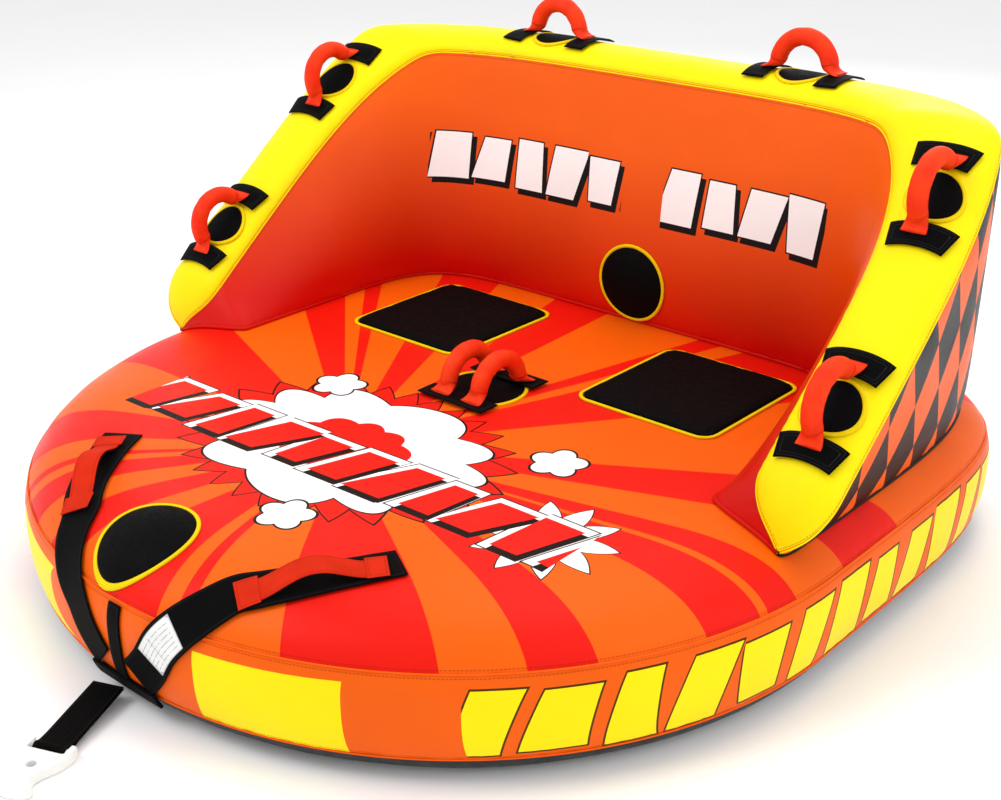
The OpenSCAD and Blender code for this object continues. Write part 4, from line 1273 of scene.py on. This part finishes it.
def edge_points(phi, a):
    p = base_point(phi, a, 0.0)
    return p, unit(base_point(phi, a, 1.0) - p)


def leg_points():
    p, n = deck_points(bezier((344, -537), (262, -682), (190, -731), np.linspace(0, 0.97, 44)))
    t = np.linspace(0.02, 1.0, 36)
    q, k = edge_points(blend(-74.8, -86.7, t), blend(50.0, -20.0, t))
    p, n = np.concatenate([p, q]), np.concatenate([n, k])
    for _ in range(6):
        p[1:-1] = 0.25 * p[:-2] + 0.5 * p[1:-1] + 0.25 * p[2:]
        n[1:-1] = unit(0.25 * n[:-2] + 0.5 * n[1:-1] + 0.25 * n[2:])
    return p, n


LOOP_MID, LOOP_TURN = np.array([272.0, -648.0]), math.radians(51)
LOOP_DIR = np.array([math.cos(LOOP_TURN), math.sin(LOOP_TURN)])
MIRROR = np.array([-1.0, 1, 1])
leg_p, leg_n = leg_points()
leg_s = arc(leg_p, 0)
for side, word in ((-1, "left"), (1, "right")):
    k = MIRROR if side < 0 else np.ones(3)
    ribbon("leg_" + word, leg_p * k, leg_n * k, 72.0, 3.0, TUBE, ("harness_leg_" + word,), WEB,
           low=1.5, crown=0.3, wave=0.4, seed=2.2 + side)
    # the webbing hand loop bridges two sewn ends along the leg
    x = np.linspace(-104, 104, 79)
    p, n = deck_points(LOOP_MID + x[:, None] * LOOP_DIR)
    rise = np.where(np.abs(x) < 86, 24 * np.cos(np.pi * x / 172) ** 2, 0.0) + 4.9
    ribbon("loop_" + word, (p + rise[:, None] * n) * k, n * k, 42.0, 3.4, TUBE, ("harness_handle_" + word,),
           WEB_RED, low=0.2, crown=0.3, seed=1.4)
    for j, at in enumerate((-94.0, 94.0)):
        x = np.linspace(at - 17, at + 17, 15)
        p, n = deck_points(LOOP_MID + x[:, None] * LOOP_DIR)
        ribbon("loop_patch_%s_%d" % (word, j), p * k, n * k, 52.0, 1.6, TUBE, (), WEB_RED,
               low=8.6, crown=0.2, seed=1.9)

at = (leg_s > leg_s[-1] * 0.70) & (leg_s < leg_s[-1] * 0.88)
ribbon("care_label", leg_p[at], leg_n[at], 58.0, 0.8, TUBE, ("label_patch",), label_material(),
       low=4.9, crown=0.05, seed=1.1)
p, n = edge_points(-90.0, np.linspace(18, -34, 27))
ribbon("keeper", p, n, 30.0, 3.0, TUBE, ("keeper_strap",), WEB, low=1.6, crown=0.3, seed=1.3)
p, n = edge_points(-90.0, np.linspace(-29, -45, 19))
ribbon("gusset", p, n, 160.0, 6.0, TUBE, ("nose_gusset",), WEB, low=1.5, crown=0.6, seed=1.6)

# ---------------------------------------------------------------- tow strap and hook
TOW_X = np.array([0.3746, -0.9272, 0.0])
drop = math.radians(4.44)
tow_along = TOW_X * math.cos(drop) - up3 * math.sin(drop)
tow_up = unit(np.cross(tow_along, np.cross(up3, tow_along)))
TOW_AT = np.array([-42.0, -816.0, 22.0])


def tow_loop():
    """The folded strap seen from its side: out along the top, round the hook's bar and back."""
    flat_x = np.linspace(-2, 139, 40)
    turn = np.radians(np.linspace(158, -158, 30))
    top = [(x, 1.6 + 1.1 * max(0, (x - 118) / 21) ** 2) for x in flat_x]
    ring = [(155 + 7.8 * math.cos(a), 7.8 * math.sin(a)) for a in turn]
    low = [(x, -z) for x, z in reversed(top)]
    xz = np.array(top + ring + low)
    for _ in range(3):
        xz[1:-1] = 0.25 * xz[:-2] + 0.5 * xz[1:-1] + 0.25 * xz[2:]
    p = TOW_AT + xz[:, :1] * tow_along + xz[:, 1:] * tow_up
    t = unit(np.gradient(p, axis=0))
    return p, unit(np.cross(np.cross(tow_along, tow_up), t))


p, n = tow_loop()
n = n * np.sign((n[5] * tow_up).sum())
ribbon("tow_webbing", p, n, 56.0, 2.5, "strap", ("tow_strap",), WEB, low=-1.2, crown=0.2, seed=1.2)


def rounded_copy(name, node, body, mat, voxel, rounds):
    """The CAD part's own shape with moulded, rounded edges."""
    o = bpy.data.objects.new(name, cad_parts[node].data.copy())
    bpy.context.scene.collection.objects.link(o)
    m = o.modifiers.new("remesh", "REMESH")
    m.mode, m.voxel_size = "VOXEL", voxel * 0.001
    s = o.modifiers.new("smooth", "SMOOTH")
    s.factor, s.iterations = 0.5, rounds
    bake(o)
    o.data.polygons.foreach_set("use_smooth", [True] * len(o.data.polygons))
    return finish_piece(o, body, (node,), mat)


rounded_copy("quick_hook", "tow_hook", "hook", hook_material(), 1.4, 14)

# ---------------------------------------------------------------- zips
ZIP_METAL, ZIP_WEB = metal_material(), webbing_material("zip_tape", rgb("#1a1a1b"), 0.0012, stitch=(0.003,))
ZIP_COIL = plastic_material("zip_coil", rgb("#202022"), 0.35)


def zip_pieces(word, at, x, z, node):
    y = np.cross(z, x)
    xs = np.linspace(-250, 250, 101)
    path = np.asarray(at) + xs[:, None] * x
    ribbon(word + "_zip_cloth", path, np.tile(z, (len(xs), 1)), 30.0, 1.2, TUBE, (node,), ZIP_WEB,
           low=0.0, crown=0.05, seed=1.7)
    verts, faces = [], []
    for k in range(166):
        for row in (-1, 1):
            c = np.asarray(at) + (-248.5 + 3.0 * k + (1.5 if row > 0 else 0)) * x + row * 0.9 * y + 1.9 * z
            base = len(verts)
            for sx in (-0.55, 0.55):
                for sy, sz in ((-2.0, -0.6), (2.0, -0.6), (1.5, 0.7), (-1.5, 0.7)):
                    verts.append(c + sx * x + sy * y + sz * z)
            faces += [[base + i for i in q] for q in ((0, 1, 2, 3), (7, 6, 5, 4), (0, 4, 5, 1), (1, 5, 6, 2),
                                                      (2, 6, 7, 3), (3, 7, 4, 0))]
    o = new_object(word + "_zip_coil", verts, faces, smooth=False)
    finish_piece(o, TUBE, (), ZIP_COIL)


zip_pieces("base", (0, REAR + 0.4, MID_H), np.array([-1.0, 0, 0]), np.array([0, 1.0, 0]), "base_zip_tape")
outer_f = panel_surface(FOOT_OUT[1], RIM_OUT[1], OUTER_SWELL, 300.0, -1)
spot_p = lifted(outer_f, 0.0, 0.0, 0.4)
spot_n = unit(lifted(outer_f, 0.0, 0.0, 1.4) - spot_p)
zip_pieces("back", spot_p, np.array([-1.0, 0, 0]), spot_n, "back_zip_tape")

# ---------------------------------------------------------------- CAD parts that keep their shape
FILM = plastic_material("bladder_film", rgb("#6d6f72"), 0.3)
VALVE = plastic_material("valve_plastic", rgb("#2c2c2e"), 0.4)
FLAP = plastic_material("flap_rubber", rgb("#3f3f42"), 0.6)
CORE = webbing_material("core_webbing", rgb("#131314"))
KEPT = {"base_bladder": FILM, "back_bladder": FILM, "base_baffles": FILM,
        "front_valve": VALVE, "back_valve": VALVE,
        "front_valve_cap": VALVE, "back_valve_cap": VALVE, "front_valve_flap": FLAP, "back_valve_flap": FLAP,
        "base_zip_slider": ZIP_METAL, "back_zip_slider": ZIP_METAL}
for place in ("lower", "upper", "back", "centre"):
    for word in ("left", "right"):
        KEPT["%s_core_%s" % (place, word)] = CORE
for name, mat in KEPT.items():
    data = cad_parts[name].data
    data.materials.clear()
    data.materials.append(mat)
